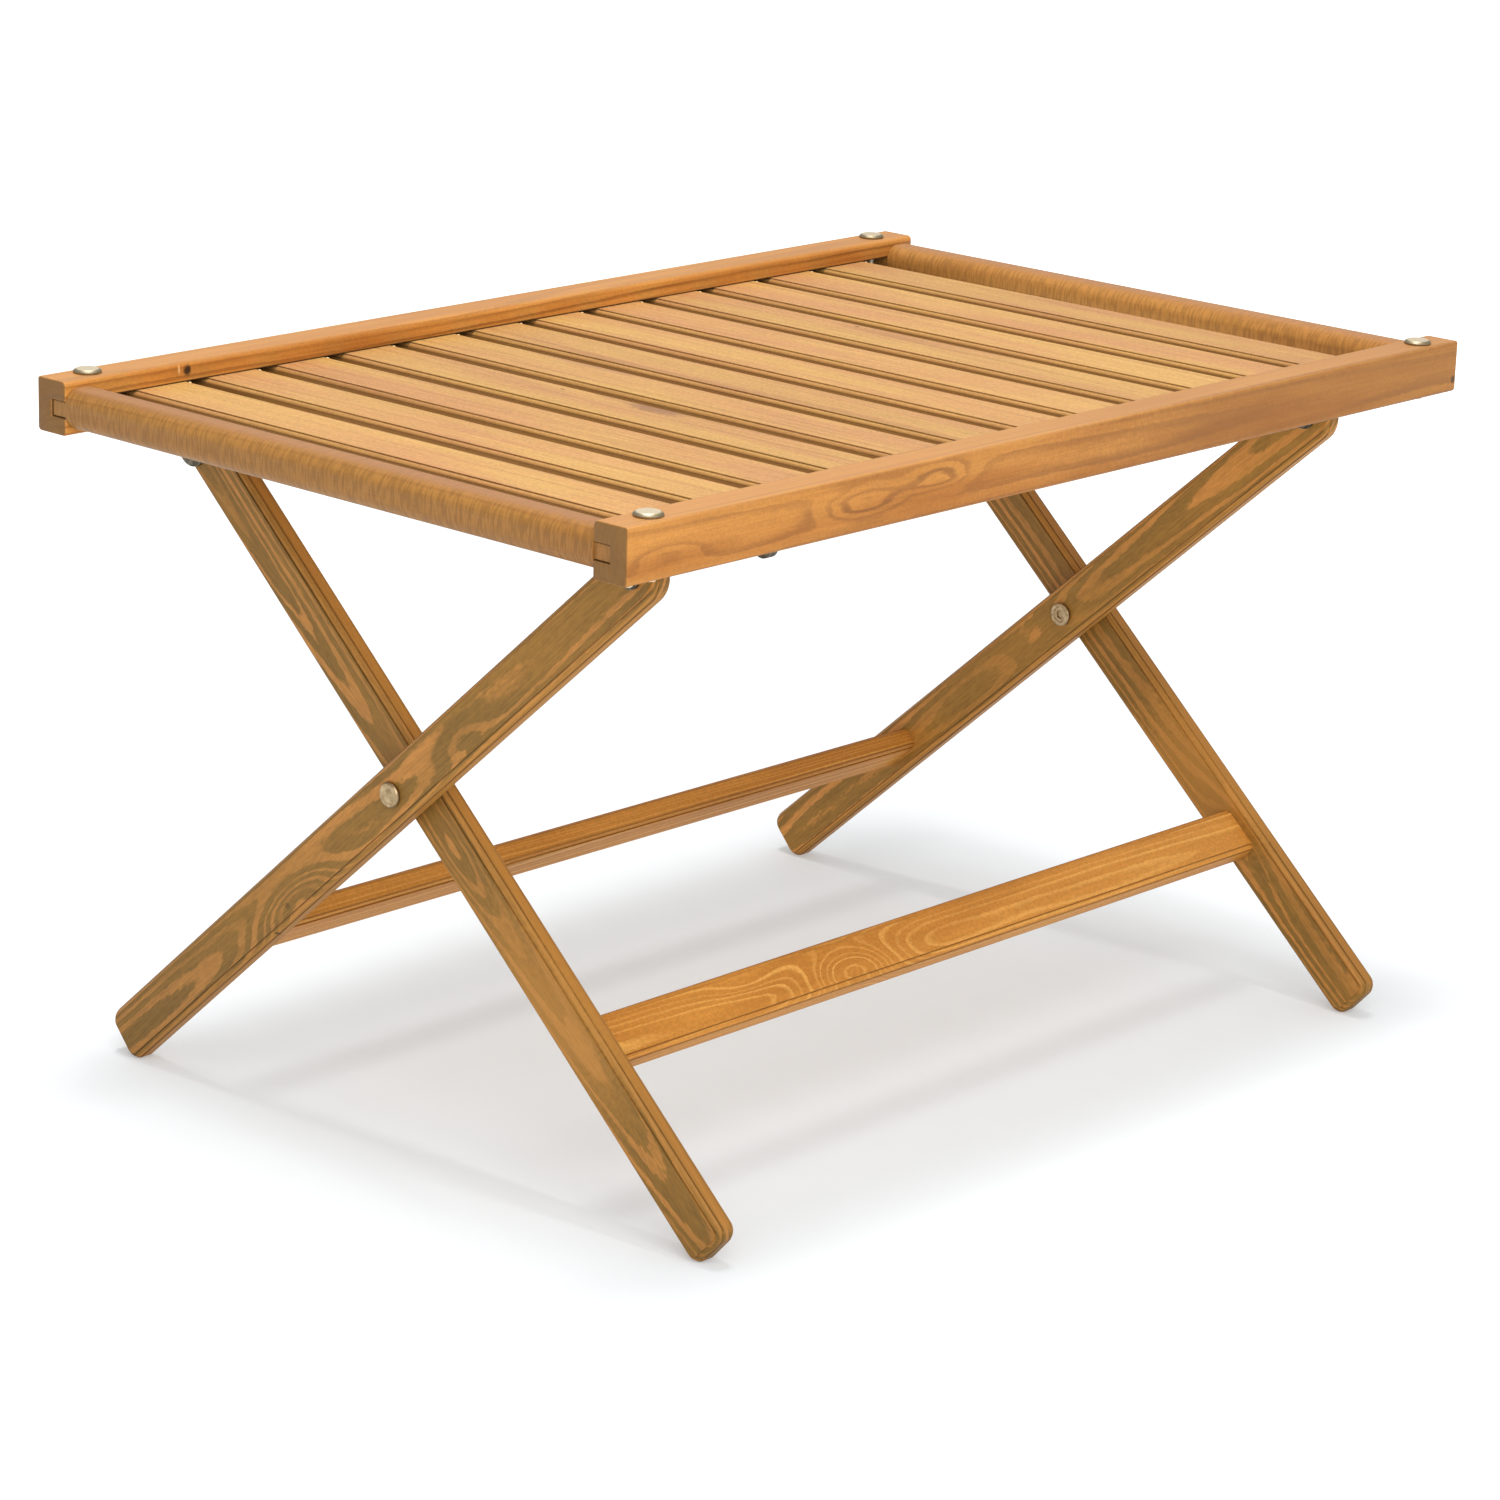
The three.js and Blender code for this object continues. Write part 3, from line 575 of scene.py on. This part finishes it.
def metalMaterial(name, look):
    material, tree, surface = newMaterial(name)
    place = tree.nodes.new("ShaderNodeTexCoord").outputs["Object"]
    patina = noise(tree, scaled(tree, place, (240, 240, 240)), 4.0, 0.6)
    fine = noise(tree, scaled(tree, place, (2400, 2400, 2400)), 2.0)
    colour = mixColour(tree, step(tree, patina, 0.35, 0.7), look["bright"], look["dull"])
    # The rim colour darkens the outer edge of the brass and bronze heads and nuts as a painted shade; on
    # steel it lightens the edges.
    rim = attribute(tree, "rim")
    colour = mixColour(tree, calc(tree, "MULTIPLY", rim, look["rimAmount"]), colour, look["rimColour"])
    feed(tree, surface.inputs["Base Color"], colour)
    surface.inputs["Metallic"].default_value = 1.0
    rough = step(tree, patina, 0.3, 0.7, look["rough"], look["rough"] + 0.16)
    feed(tree, surface.inputs["Roughness"], rough)
    bump = tree.nodes.new("ShaderNodeBump")
    bump.inputs["Strength"].default_value = 0.25
    bump.inputs["Distance"].default_value = 0.05 * mm
    feed(tree, bump.inputs["Height"], calc(tree, "MULTIPLY_ADD", fine, 0.6, patina))
    feed(tree, surface.inputs["Normal"], bump.outputs[0])
    return material


metalLooks = {
    "brass": {"bright": (0.86, 0.75, 0.57, 1), "dull": (0.7, 0.59, 0.4, 1), "rough": 0.42,
              "rimAmount": 0.8, "rimColour": (0.17, 0.13, 0.065, 1)},
    "bronze": {"bright": (0.52, 0.38, 0.22, 1), "dull": (0.33, 0.23, 0.12, 1), "rough": 0.36,
               "rimAmount": 0.5, "rimColour": (0.14, 0.09, 0.04, 1)},
    "steel": {"bright": (0.16, 0.135, 0.1, 1), "dull": (0.07, 0.058, 0.042, 1), "rough": 0.38,
              "rimAmount": 0.3, "rimColour": (0.3, 0.26, 0.2, 1)},
}
agedBrass = metalMaterial("agedBrass", metalLooks["brass"])
agedBronze = metalMaterial("agedBronze", metalLooks["bronze"])
darkSteel = metalMaterial("darkSteel", metalLooks["steel"])
print("materials made")

axisX, axisY, axisZ = np.eye(3)
slatLow, slatHigh = boxOf("slat_01")

longRail = {"outerTop": 1.8 * mm, "innerTop": 3.2 * mm, "bottom": 2.6 * mm, "mouthEase": 0.3 * mm,
            "endEase": 1.0 * mm, "grooveDeep": 13 * mm, "grooveGap": 0.3 * mm}


def railSection(width, height, grooveLow, grooveHigh, inset):
    # A rectangle with a square groove in its +v side, all drawn in by inset.
    a, b = width / 2 - inset, height / 2 - inset
    low, high = grooveLow - inset, grooveHigh + inset
    back = width / 2 - longRail["grooveDeep"] - inset
    corners = [(-a, -b), (a, -b), (a, low), (back, low), (back, high), (a, high), (a, b), (-a, b)]
    radii = [longRail["bottom"]] * 2 + [longRail["mouthEase"], 0.2 * mm, 0.2 * mm, longRail["mouthEase"]]
    radii += [longRail["innerTop"], longRail["outerTop"]]
    shrink = np.array([inset, inset, 0, 0, 0, 0, inset, inset])
    return filletLoop(corners, np.maximum(np.array(radii) - shrink, 0.2 * mm))


railWoods = {
    "front": {"shift": 1.3, "pith": (34 * mm, 9 * mm), "lean": (0.006, 0.004), "roll": 0.25, "tint": 0.5,
              "swellAxis": 2, "swells": [(-0.2, 0.001, 0.035, 0.008, 15 * mm),
                                         (-0.135, 0.005, 0.03, 0.007, 13 * mm),
                                         (-0.365, -0.004, 0.03, 0.007, 8 * mm)]},
    "back": {"shift": 5.9, "pith": (-15 * mm, 38 * mm), "lean": (0.003, -0.008), "roll": 0.1, "tint": 0.85},
}
for side, inward in (("front", axisY), ("back", -axisY)):
    node = "long_rail_" + side
    low, high = boxOf(node)
    size = high - low
    centre = (low + high) / 2
    grooveLow = slatLow[2] - longRail["grooveGap"] - centre[2]
    grooveHigh = slatHigh[2] + longRail["grooveGap"] - centre[2]
    stations, insets = easedEnds(size[0], longRail["endEase"], along=160)
    sections = [railSection(size[1], size[2], grooveLow, grooveHigh, inset) for inset in insets]
    rings = carried(sections, stations - size[0] / 2)
    axes = np.array([axisX, inward, axisZ])
    mesh = newMesh(node, [rings], centre, axes)
    addGrain(mesh, centre, axes, railWoods[side], (size[0], size[1], size[2]))
    # Every point inside the groove is marked for painted shade.
    across, height = ((vertexPoints(mesh) - centre) @ axes.T).T[1:]
    inGroove = across > size[1] / 2 - longRail["grooveDeep"] - 0.1 * mm
    inGroove &= (height > grooveLow - 0.4 * mm) & (height < grooveHigh + 0.4 * mm)
    addLayer(mesh, "recessShade", inGroove.astype(float))
    addPiece("rail." + side, mesh, woods["rail"], "rail_wood", "top", node)

endRail = {"round": 10.2 * mm, "tongueWide": 24.5 * mm, "tongueRound": 0.3 * mm, "gap": 0.3 * mm}
endWoods = {
    "near": {"shift": 9.2, "pith": (22 * mm, 12 * mm), "lean": (0.004, 0.01), "roll": 0.4, "tint": 0.3},
    "far": {"shift": 13.7, "pith": (-18 * mm, 20 * mm), "lean": (0.004, -0.006), "roll": 0.9, "tint": 1.0},
}
railFrontLow, railFrontHigh = boxOf("long_rail_front")
railBackLow, railBackHigh = boxOf("long_rail_back")
for end in ("near", "far"):
    node = "end_rail_" + end
    low, high = boxOf(node)
    centre = (low + high) / 2
    size = high - low
    shoulder = railBackLow[1] - endRail["gap"]
    body = filletLoop(rectangle(size[0], size[2]), endRail["round"], arcRows=8)
    tongueBox = rectangle(endRail["tongueWide"], slatHigh[2] - slatLow[2])
    tongue = filletLoop(tongueBox, endRail["tongueRound"], arcRows=8)
    tongue += [0, (slatLow[2] + slatHigh[2]) / 2 - centre[2]]
    long = high[1] - centre[1]
    middle = np.linspace(-shoulder, shoulder, 110)
    stations = np.concatenate([[-long, -shoulder], middle, [shoulder, long]])
    sections = [tongue, tongue] + [body] * len(middle) + [tongue, tongue]
    axes = np.array([axisY, axisX, axisZ])
    mesh = newMesh(node, [carried(sections, stations)], centre, axes)
    addGrain(mesh, centre, axes, endWoods[end], (2 * long, size[0], size[2]))
    addPiece("endRail." + end, mesh, woods["endRail"], "rail_wood", "top", node)

slat = {"ledge": 0.9 * mm, "lip": 0.5 * mm, "roundAcross": 3.0 * mm, "roundDown": 2.3 * mm, "count": 12,
        "endEase": 0.4 * mm}
random = np.random.default_rng(41)
for number in range(1, slat["count"] + 1):
    node = f"slat_{number:02d}"
    low, high = boxOf(node)
    size, centre = high - low, (low + high) / 2
    stations, insets = easedEnds(size[1], slat["endEase"], along=90)
    sections = [mouldedLoop(size[0] - 2 * inset, size[2] - 2 * inset, slat) for inset in insets]
    axes = np.array([axisY, axisX, axisZ])
    mesh = newMesh(node, [carried(sections, stations - size[1] / 2)], centre, axes)
    wood = {
        "shift": 17.0 + 2.3 * number, "roll": random.uniform(-0.3, 0.3), "tint": random.uniform(0.25, 0.85),
        "pith": (random.uniform(-40, 40) * mm, random.uniform(-60, -22) * mm),
        "lean": (random.uniform(-0.01, 0.01), random.uniform(-0.012, 0.012)),
    }
    addGrain(mesh, centre, axes, wood, (size[1], size[0], size[2]), slat)
    addPiece(f"slat.{number:02d}", mesh, woods["slat"], "slat_wood", "top", node)

# A bead of filler at the far corner of each slat's back end: a dome of radius * sin t across and
# high * cos t up, closed below by the same dome upside down and flatter.
filler = {"radius": 1.3 * mm, "high": 0.9 * mm, "below": 0.3, "inset": (1.2 * mm, 1.0 * mm, 1.1 * mm),
          "pale": (0.84, 0.62, 0.34, 1), "dull": (0.66, 0.42, 0.19, 1)}
t = np.linspace(0, math.pi / 2, 5)
bead = np.column_stack([filler["radius"] * np.sin(t), filler["high"] * np.cos(t)])
bead = np.concatenate([bead, bead[::-1] * [1, -filler["below"]]])
slatEnds = [boxOf(f"slat_{number:02d}")[1][0] for number in range(1, slat["count"] + 1)]
corners = [np.array([end, railBackLow[1], slatHigh[2]]) - filler["inset"] for end in slatEnds]
beads = [turnedRings(bead, sides=12) + corner for corner in corners]
mesh = newMesh("groove_filler", beads, (0, 0, 0), np.eye(3), fill=False)
fillerPaste, tree, surface = newMaterial("fillerPaste")
place = tree.nodes.new("ShaderNodeTexCoord").outputs["Object"]
specks = noise(tree, scaled(tree, place, (1500, 1500, 1500)))
feed(tree, surface.inputs["Base Color"], mixColour(tree, specks, filler["pale"], filler["dull"]))
surface.inputs["Roughness"].default_value = 0.7
addPiece("grooveFiller", mesh, fillerPaste, "slat_wood", "top")
print("top made")

cross = jointPlace("legs_fold")
leg = {"wide": 36 * mm, "footRound": 9 * mm, "ledge": 1.1 * mm, "lip": 0.5 * mm, "roundAcross": 3.4 * mm,
       "roundDown": 3.4 * mm}
axisOf = {"a": jointPlace("top_hinge"), "b": sum(boxOf("rest_pin_near")) / 2}
sideOf = {"a": -1, "b": 1}
armOf, angleOf = {}, {}
for name, place in axisOf.items():
    armOf[name] = math.hypot(place[1] - cross[1], place[2] - cross[2])
    angleOf[name] = math.atan2(place[2] - cross[2], abs(place[1] - cross[1]))


def legPatches(thick, upperArm, legAngle):
    # The outline runs from the middle of the round upper end down one side and round the foot's corner.
    # Every outline point is repeated through the thickness, drawn in along its normal by the moulded
    # corner's inset, and mirrored for the other side.
    half, foot = leg["wide"] / 2, leg["footRound"]
    lowerArm = (cross[2] - (half - foot) * math.cos(legAngle) - foot) / math.sin(legAngle) + foot
    top = np.linspace(0, math.pi / 2, 17)
    bend = np.linspace(math.pi / 2, math.pi, 9)
    straight = np.linspace(upperArm, foot - lowerArm, 150)[1:-1]
    u = np.concatenate([upperArm + half * np.cos(top), straight, foot - lowerArm + foot * np.cos(bend)])
    straightV = np.full(len(straight), half)
    v = np.concatenate([half * np.sin(top), straightV, half - foot + foot * np.sin(bend)])
    angle = np.concatenate([top, np.full(len(straight), math.pi / 2), bend])
    corner, drop = mouldedCorner(leg)
    flat = np.linspace(thick / 2 - drop[-1], drop[-1] - thick / 2, 6)[1:-1]
    inset = np.concatenate([corner, np.zeros(len(flat)), corner[::-1]])
    w = np.concatenate([thick / 2 - drop, flat, (drop - thick / 2)[::-1]])
    sideU = u[:, None] - inset[None] * np.cos(angle)[:, None]
    sideV = v[:, None] - inset[None] * np.sin(angle)[:, None]
    sideW = np.repeat(w[None], len(u), axis=0)
    plus = np.stack([sideU, sideV, sideW], -1)
    minus = plus * [1, -1, 1]
    share = np.concatenate([[0, 0.03], np.linspace(0.1, 0.9, 11), [0.97, 1]])
    faces = [
        plus[:, row][:, None] * (1 - share[None, :, None]) + minus[:, row][:, None] * share[None, :, None]
        for row in (0, -1)
    ]
    end = plus[-1][:, None] * (1 - share[None, :, None]) + minus[-1][:, None] * share[None, :, None]
    return [plus, minus, *faces, end], lowerArm


legWoods = {
    "leg_a_near": {"shift": 51.0, "pith": (3 * mm, -31 * mm), "lean": (0.012, -0.02),
                   "roll": 0.1, "tint": 0.33,
                   "swells": [(-0.125, 0.011, 0.048, 0.015, 19 * mm), (0.075, 0.002, 0.035, 0.01, 6 * mm),
                              (0.0, -0.006, 0.05, 0.012, 3 * mm)]},
    "leg_b_near": {"shift": 55.0, "pith": (-1 * mm, -25 * mm), "lean": (0.03, 0.05),
                   "roll": -0.05, "tint": 0.22,
                   "swells": [(-0.05, 0.0, 0.03, 0.009, -5 * mm)]},
    "leg_a_far": {"shift": 59.0, "pith": (5 * mm, -26 * mm), "lean": (0.01, 0.025),
                  "roll": 0.15, "tint": 0.82,
                  "swells": [(-0.03, 0.0, 0.04, 0.012, 6 * mm)]},
    "leg_b_far": {"shift": 63.0, "pith": (-6 * mm, -32 * mm), "lean": (0.012, 0.02),
                  "roll": 0.2, "tint": 0.3,
                  "swells": [(-0.2, 0.005, 0.05, 0.012, 8 * mm)]},
}
for node, wood in legWoods.items():
    low, high = boxOf(node)
    name = node[4]
    angle, arm = angleOf[name], armOf[name]
    along = np.array([0, sideOf[name] * math.cos(angle), math.sin(angle)])
    axes = np.array([along, np.cross(axisX, along), -axisX])
    origin = np.array([(low[0] + high[0]) / 2, cross[1], cross[2]])
    thick = high[0] - low[0]
    patches, lowerArm = legPatches(thick, arm, angle)
    mesh = newMesh(node, patches, origin, axes)
    wood["middle"] = (arm + leg["wide"] / 2 - lowerArm) / 2
    addGrain(mesh, origin, axes, wood, (arm + leg["wide"] / 2 + lowerArm, leg["wide"], thick), leg)
    addPiece(node.replace("_", "."), mesh, woods["leg"], "leg_wood", "frame_" + name, node)

stretcher = {"wide": 34 * mm, "thick": 16.5 * mm, "ledge": 1.0 * mm, "lip": 0.4 * mm,
             "roundAcross": 3.5 * mm,
             "roundDown": 1.6 * mm, "tenonWide": 20 * mm, "tenonThick": 8.5 * mm, "tenonRound": 2 * mm,
             "along": 198.5 * mm}
stretcherWoods = {
    "stretcher_back": {"shift": 71.0, "pith": (6 * mm, 34 * mm), "lean": (0.002, 0.004),
                       "roll": 0.2, "tint": 0.25},
    "stretcher_front": {"shift": 75.0, "pith": (-4 * mm, 30 * mm), "lean": (0.004, 0.006), "roll": -0.1,
                        "tint": 0.42, "swells": [(-0.098, 0.009, 0.042, 0.018, 23 * mm),
                                                 (-0.188, -0.007, 0.03, 0.008, 5 * mm)]},
}
for node, wood in stretcherWoods.items():
    name = "a" if node.endswith("back") else "b"
    low, high = boxOf(node)
    nearLeg, farLeg = boxOf(f"leg_{name}_near"), boxOf(f"leg_{name}_far")
    x0, x1 = nearLeg[1][0] + 0.3 * mm, farLeg[0][0] - 0.3 * mm
    slope = np.array([0, -sideOf[name] * math.cos(angleOf[name]), -math.sin(angleOf[name])])
    origin = np.array([(x0 + x1) / 2, cross[1], cross[2]]) + slope * stretcher["along"]
    body = mouldedLoop(stretcher["wide"], stretcher["thick"], stretcher)
    tenonBox = rectangle(stretcher["tenonWide"], stretcher["tenonThick"])
    tenon = filletLoop(tenonBox, stretcher["tenonRound"], arcRows=8, flatRows=9)
    half = (x1 - x0) / 2
    middle = np.linspace(-half, half, 170)
    stations = np.concatenate([[low[0] - origin[0], -half], middle, [half, high[0] - origin[0]]])
    sections = [tenon, tenon] + [body] * len(middle) + [tenon, tenon]
    axes = np.array([axisX, slope, np.cross(axisX, slope)])
    mesh = newMesh(node, [carried(sections, stations)], origin, axes)
    addGrain(mesh, origin, axes, wood, (2 * half + 0.02, stretcher["wide"], stretcher["thick"]), stretcher)
    addPiece(node.replace("_", "."), mesh, woods["stretcher"], "leg_wood", "frame_" + name, node)
print("leg frames made")


def addTurned(name, profile, origin, axes, material, slotName, bodyName, node, rimFrom, sixSided=()):
    # The rim value rises from 0 to 1 between the two radii of rimFrom, where the turned part's outer edge
    # gets a painted shade.
    mesh = newMesh(name, [turnedRings(profile, sixSided=sixSided)], origin, axes, fill=False, sharp=38)
    local = (vertexPoints(mesh) - origin) @ np.asarray(axes, float).T
    radius = np.hypot(local[:, 0], local[:, 1])
    addLayer(mesh, "rim", np.clip((radius - rimFrom[0]) / (rimFrom[1] - rimFrom[0]), 0, 1))
    addPiece(name, mesh, material, slotName, bodyName, node)


def boltProfile(head, radius, high, long):
    # From the middle of the head outwards: a flat with an optional turned ring, a slope that falls by
    # (1 - fall) of the height as s ** 1.8, a short rim, then the underside and the shank.
    flat = head["flat"] * radius
    t = np.linspace(0, 1, 9)
    ring = head.get("ring", 0.0)
    crown = np.column_stack([flat * t, high - ring * np.exp(-((t - 0.62) / 0.12) ** 2)])
    fallen = high * (1 - (1 - head["fall"]) * t[1:] ** 1.8)
    slope = np.column_stack([flat + (radius - flat) * t[1:], fallen])
    rim = [(radius, 0.25 * head["fall"] * high), (radius - 0.2 * mm, 0)]
    shank = head["shank"]
    return np.concatenate([crown, slope, rim, [(shank, 0), (shank, -long), (0, -long)]])


cornerHead = {"flat": 0.74, "fall": 0.42, "shank": 3 * mm}
for side in ("front", "back"):
    for end in ("near", "far"):
        node = f"corner_bolt_{side}_{end}"
        low, high = boxOf(node)
        centre = (low + high) / 2
        seat = railFrontHigh[2] + 0.15 * mm
        radius = (high[0] - low[0]) / 2
        profile = boltProfile(cornerHead, radius, high[2] - seat, seat - low[2])
        addTurned(f"cornerBolt.{side}.{end}", profile, np.array([centre[0], centre[1], seat]), np.eye(3),
                  agedBrass, "aged_brass", "top", node, (0.74 * radius, 0.9 * radius))

crossHead = {"flat": 0.86, "fall": 0.5, "ring": 0.45 * mm, "shank": 4 * mm, "high": 2.8 * mm}
crossNut = {"socket": 2.9 * mm, "socketDeep": 1.8 * mm, "recess": 5.2 * mm, "recessDeep": 0.7 * mm,
            "bevel": 0.5 * mm}
for end, outward in (("near", -1), ("far", 1)):
    low, high = boxOf("cross_bolt_" + end)
    radius = (high[2] - low[2]) / 2
    outer, tail = (low[0], high[0]) if outward < 0 else (high[0], low[0])
    seat = outer - outward * crossHead["high"]
    boltAxes = np.array([axisY, axisZ * outward, axisX * outward])
    profile = boltProfile(crossHead, radius, crossHead["high"], abs(seat - tail))
    addTurned("crossBolt." + end, profile, np.array([seat, cross[1], cross[2]]), boltAxes, agedBronze,
              "aged_brass", bodyOf["cross_bolt_" + end], "cross_bolt_" + end,
              (0.86 * radius, radius))
    low, high = boxOf("cross_nut_" + end)
    radius, tall = (high[2] - low[2]) / 2, high[0] - low[0]
    seat = low[0] if outward < 0 else high[0]
    recess, socket, bevel = crossNut["recess"], crossNut["socket"], crossNut["bevel"]
    profile = [(0, tall - crossNut["socketDeep"]), (socket, tall - crossNut["socketDeep"]),
               (socket, tall - crossNut["recessDeep"]), (recess, tall - crossNut["recessDeep"]),
               (recess + 0.3 * mm, tall), (radius - bevel, tall), (radius, tall - bevel),
               (radius, 0.2 * mm),
               (radius - 0.2 * mm, 0), (0, 0)]
    nutAxes = np.array([axisY, -axisZ * outward, -axisX * outward])
    addTurned("crossNut." + end, profile, np.array([seat, cross[1], cross[2]]), nutAxes, agedBronze,
              "aged_brass", bodyOf["cross_nut_" + end], "cross_nut_" + end,
              (0.9 * radius, radius), sixSided=(1, 2))


def finishedCopy(name, material, slotName, bodyName, node, ease):
    # A merged copy of the node's solid, its sharp edges bevelled by ease.
    mesh = bpy.data.objects[node].data.copy()
    mesh.materials.clear()
    work = bmesh.new()
    work.from_mesh(mesh)
    bmesh.ops.remove_doubles(work, verts=work.verts, dist=5e-6)
    bmesh.ops.dissolve_limit(work, angle_limit=math.radians(1), verts=work.verts, edges=work.edges)
    bmesh.ops.recalc_face_normals(work, faces=work.faces)
    work.to_mesh(mesh)
    work.free()
    mesh.shade_smooth()
    mesh.set_sharp_from_angle(angle=math.radians(32))
    piece = addPiece(name, mesh, material, slotName, bodyName, node)
    bevel = piece.modifiers.new("easedEdges", "BEVEL")
    bevel.width = ease
    bevel.segments = 2
    bevel.limit_method = "ANGLE"
    bevel.angle_limit = math.radians(40)


steelNodes = ["hinge_bracket", "hook_bracket", "hinge_pin", "hinge_cap", "rest_pin", "cross_washer"]
fittings = [f"{kind}_{end}" for kind in steelNodes for end in ("near", "far")]
fittings += [f"corner_nut_{side}_{end}" for side in ("front", "back") for end in ("near", "far")]
fittings += [f"{kind}_screw_{end}_{n}" for kind in ("hinge", "hook")
             for end in ("near", "far") for n in (1, 2)]
for node in fittings:
    metal = agedBrass if slotOf[node] == "aged_brass" else darkSteel
    finishedCopy(node.replace("_", "."), metal, slotOf[node], bodyOf[node], node, 0.25 * mm)
print("hardware made")

view = {"place": (-2.227644, -2.02195, 1.100232), "yaw": -47.61, "pitch": -16.64,
        "roll": 1.754, "lens": 113.463}
cameraData = bpy.data.cameras.new("camera")
cameraData.lens = view["lens"]
cameraData.sensor_width = 36
cameraData.clip_end = 50
camera = bpy.data.objects.new("camera", cameraData)
bpy.context.scene.collection.objects.link(camera)
camera.location = view["place"]
yaw, pitch, roll = (math.radians(view[key]) for key in ("yaw", "pitch", "roll"))
forward = np.array([-math.sin(yaw) * math.cos(pitch), math.cos(yaw) * math.cos(pitch), math.sin(pitch)])
right = np.cross(forward, axisZ)
right /= np.linalg.norm(right)
up = np.cross(right, forward)
turnedRight = right * math.cos(roll) + up * math.sin(roll)
turnedUp = up * math.cos(roll) - right * math.sin(roll)
camera.rotation_mode = "QUATERNION"
camera.rotation_quaternion = Matrix(np.column_stack([turnedRight, turnedUp, -forward])).to_quaternion()
bpy.context.scene.camera = camera

studio = {"world": 0.6, "floorGlow": 0.28, "floorShade": (0.58, 0.613, 0.634, 1), "farGlow": 0.7,
          "floorHalf": 9.0, "aim": (0, 0, 0.3)}
world = bpy.data.worlds.new("studio")
bpy.context.scene.world = world
world.use_nodes = True
tree = world.node_tree
background = tree.nodes["Background"]
path = tree.nodes.new("ShaderNodeLightPath").outputs["Is Camera Ray"]
feed(tree, background.inputs["Strength"], step(tree, path, 0, 1, studio["world"], 1.0, smooth=False))
background.inputs["Color"].default_value = (1, 1, 1, 1)

span = [-studio["floorHalf"], studio["floorHalf"]]
floorGrid = np.stack(np.meshgrid(span, span, [0.0], indexing="ij"), -1)[:, :, 0]
floorMesh = newMesh("floor", [floorGrid], (0, 0, cadLow[2]), np.eye(3), fill=False)
floor = bpy.data.objects.new("floor", floorMesh)
bpy.context.scene.collection.objects.link(floor)
floorMaterial, tree, surface = newMaterial("floorPaper")
surface.inputs["Base Color"].default_value = studio["floorShade"]
surface.inputs["Roughness"].default_value = 0.9
surface.inputs["Specular IOR Level"].default_value = 0.0
surface.inputs["Emission Color"].default_value = (1, 1, 1, 1)
place = tree.nodes.new("ShaderNodeTexCoord").outputs["Object"]
away = vectorCalc(tree, "LENGTH", place)
feed(tree, surface.inputs["Emission Strength"],
     step(tree, away, 0.75, 3.0, studio["floorGlow"], studio["floorGlow"] + studio["farGlow"]))
floorMesh.materials.append(floorMaterial)

lights = [
    {"name": "key", "from": (-1.3, -1.7, 1.5), "size": 2.0, "power": 38},
    {"name": "top", "from": (-0.1, 0.1, 5.0), "size": 1.1, "power": 180},
]
for light in lights:
    data = bpy.data.lights.new(light["name"], "AREA")
    data.size = light["size"]
    data.energy = light["power"]
    lamp = bpy.data.objects.new(light["name"], data)
    bpy.context.scene.collection.objects.link(lamp)
    place = np.array(light["from"])
    lamp.location = place
    lamp.rotation_mode = "QUATERNION"
    lamp.rotation_quaternion = Vector(np.array(studio["aim"]) - place).to_track_quat("-Z", "Y")
bpy.context.scene.view_settings.view_transform = "Standard"
print("studio made")
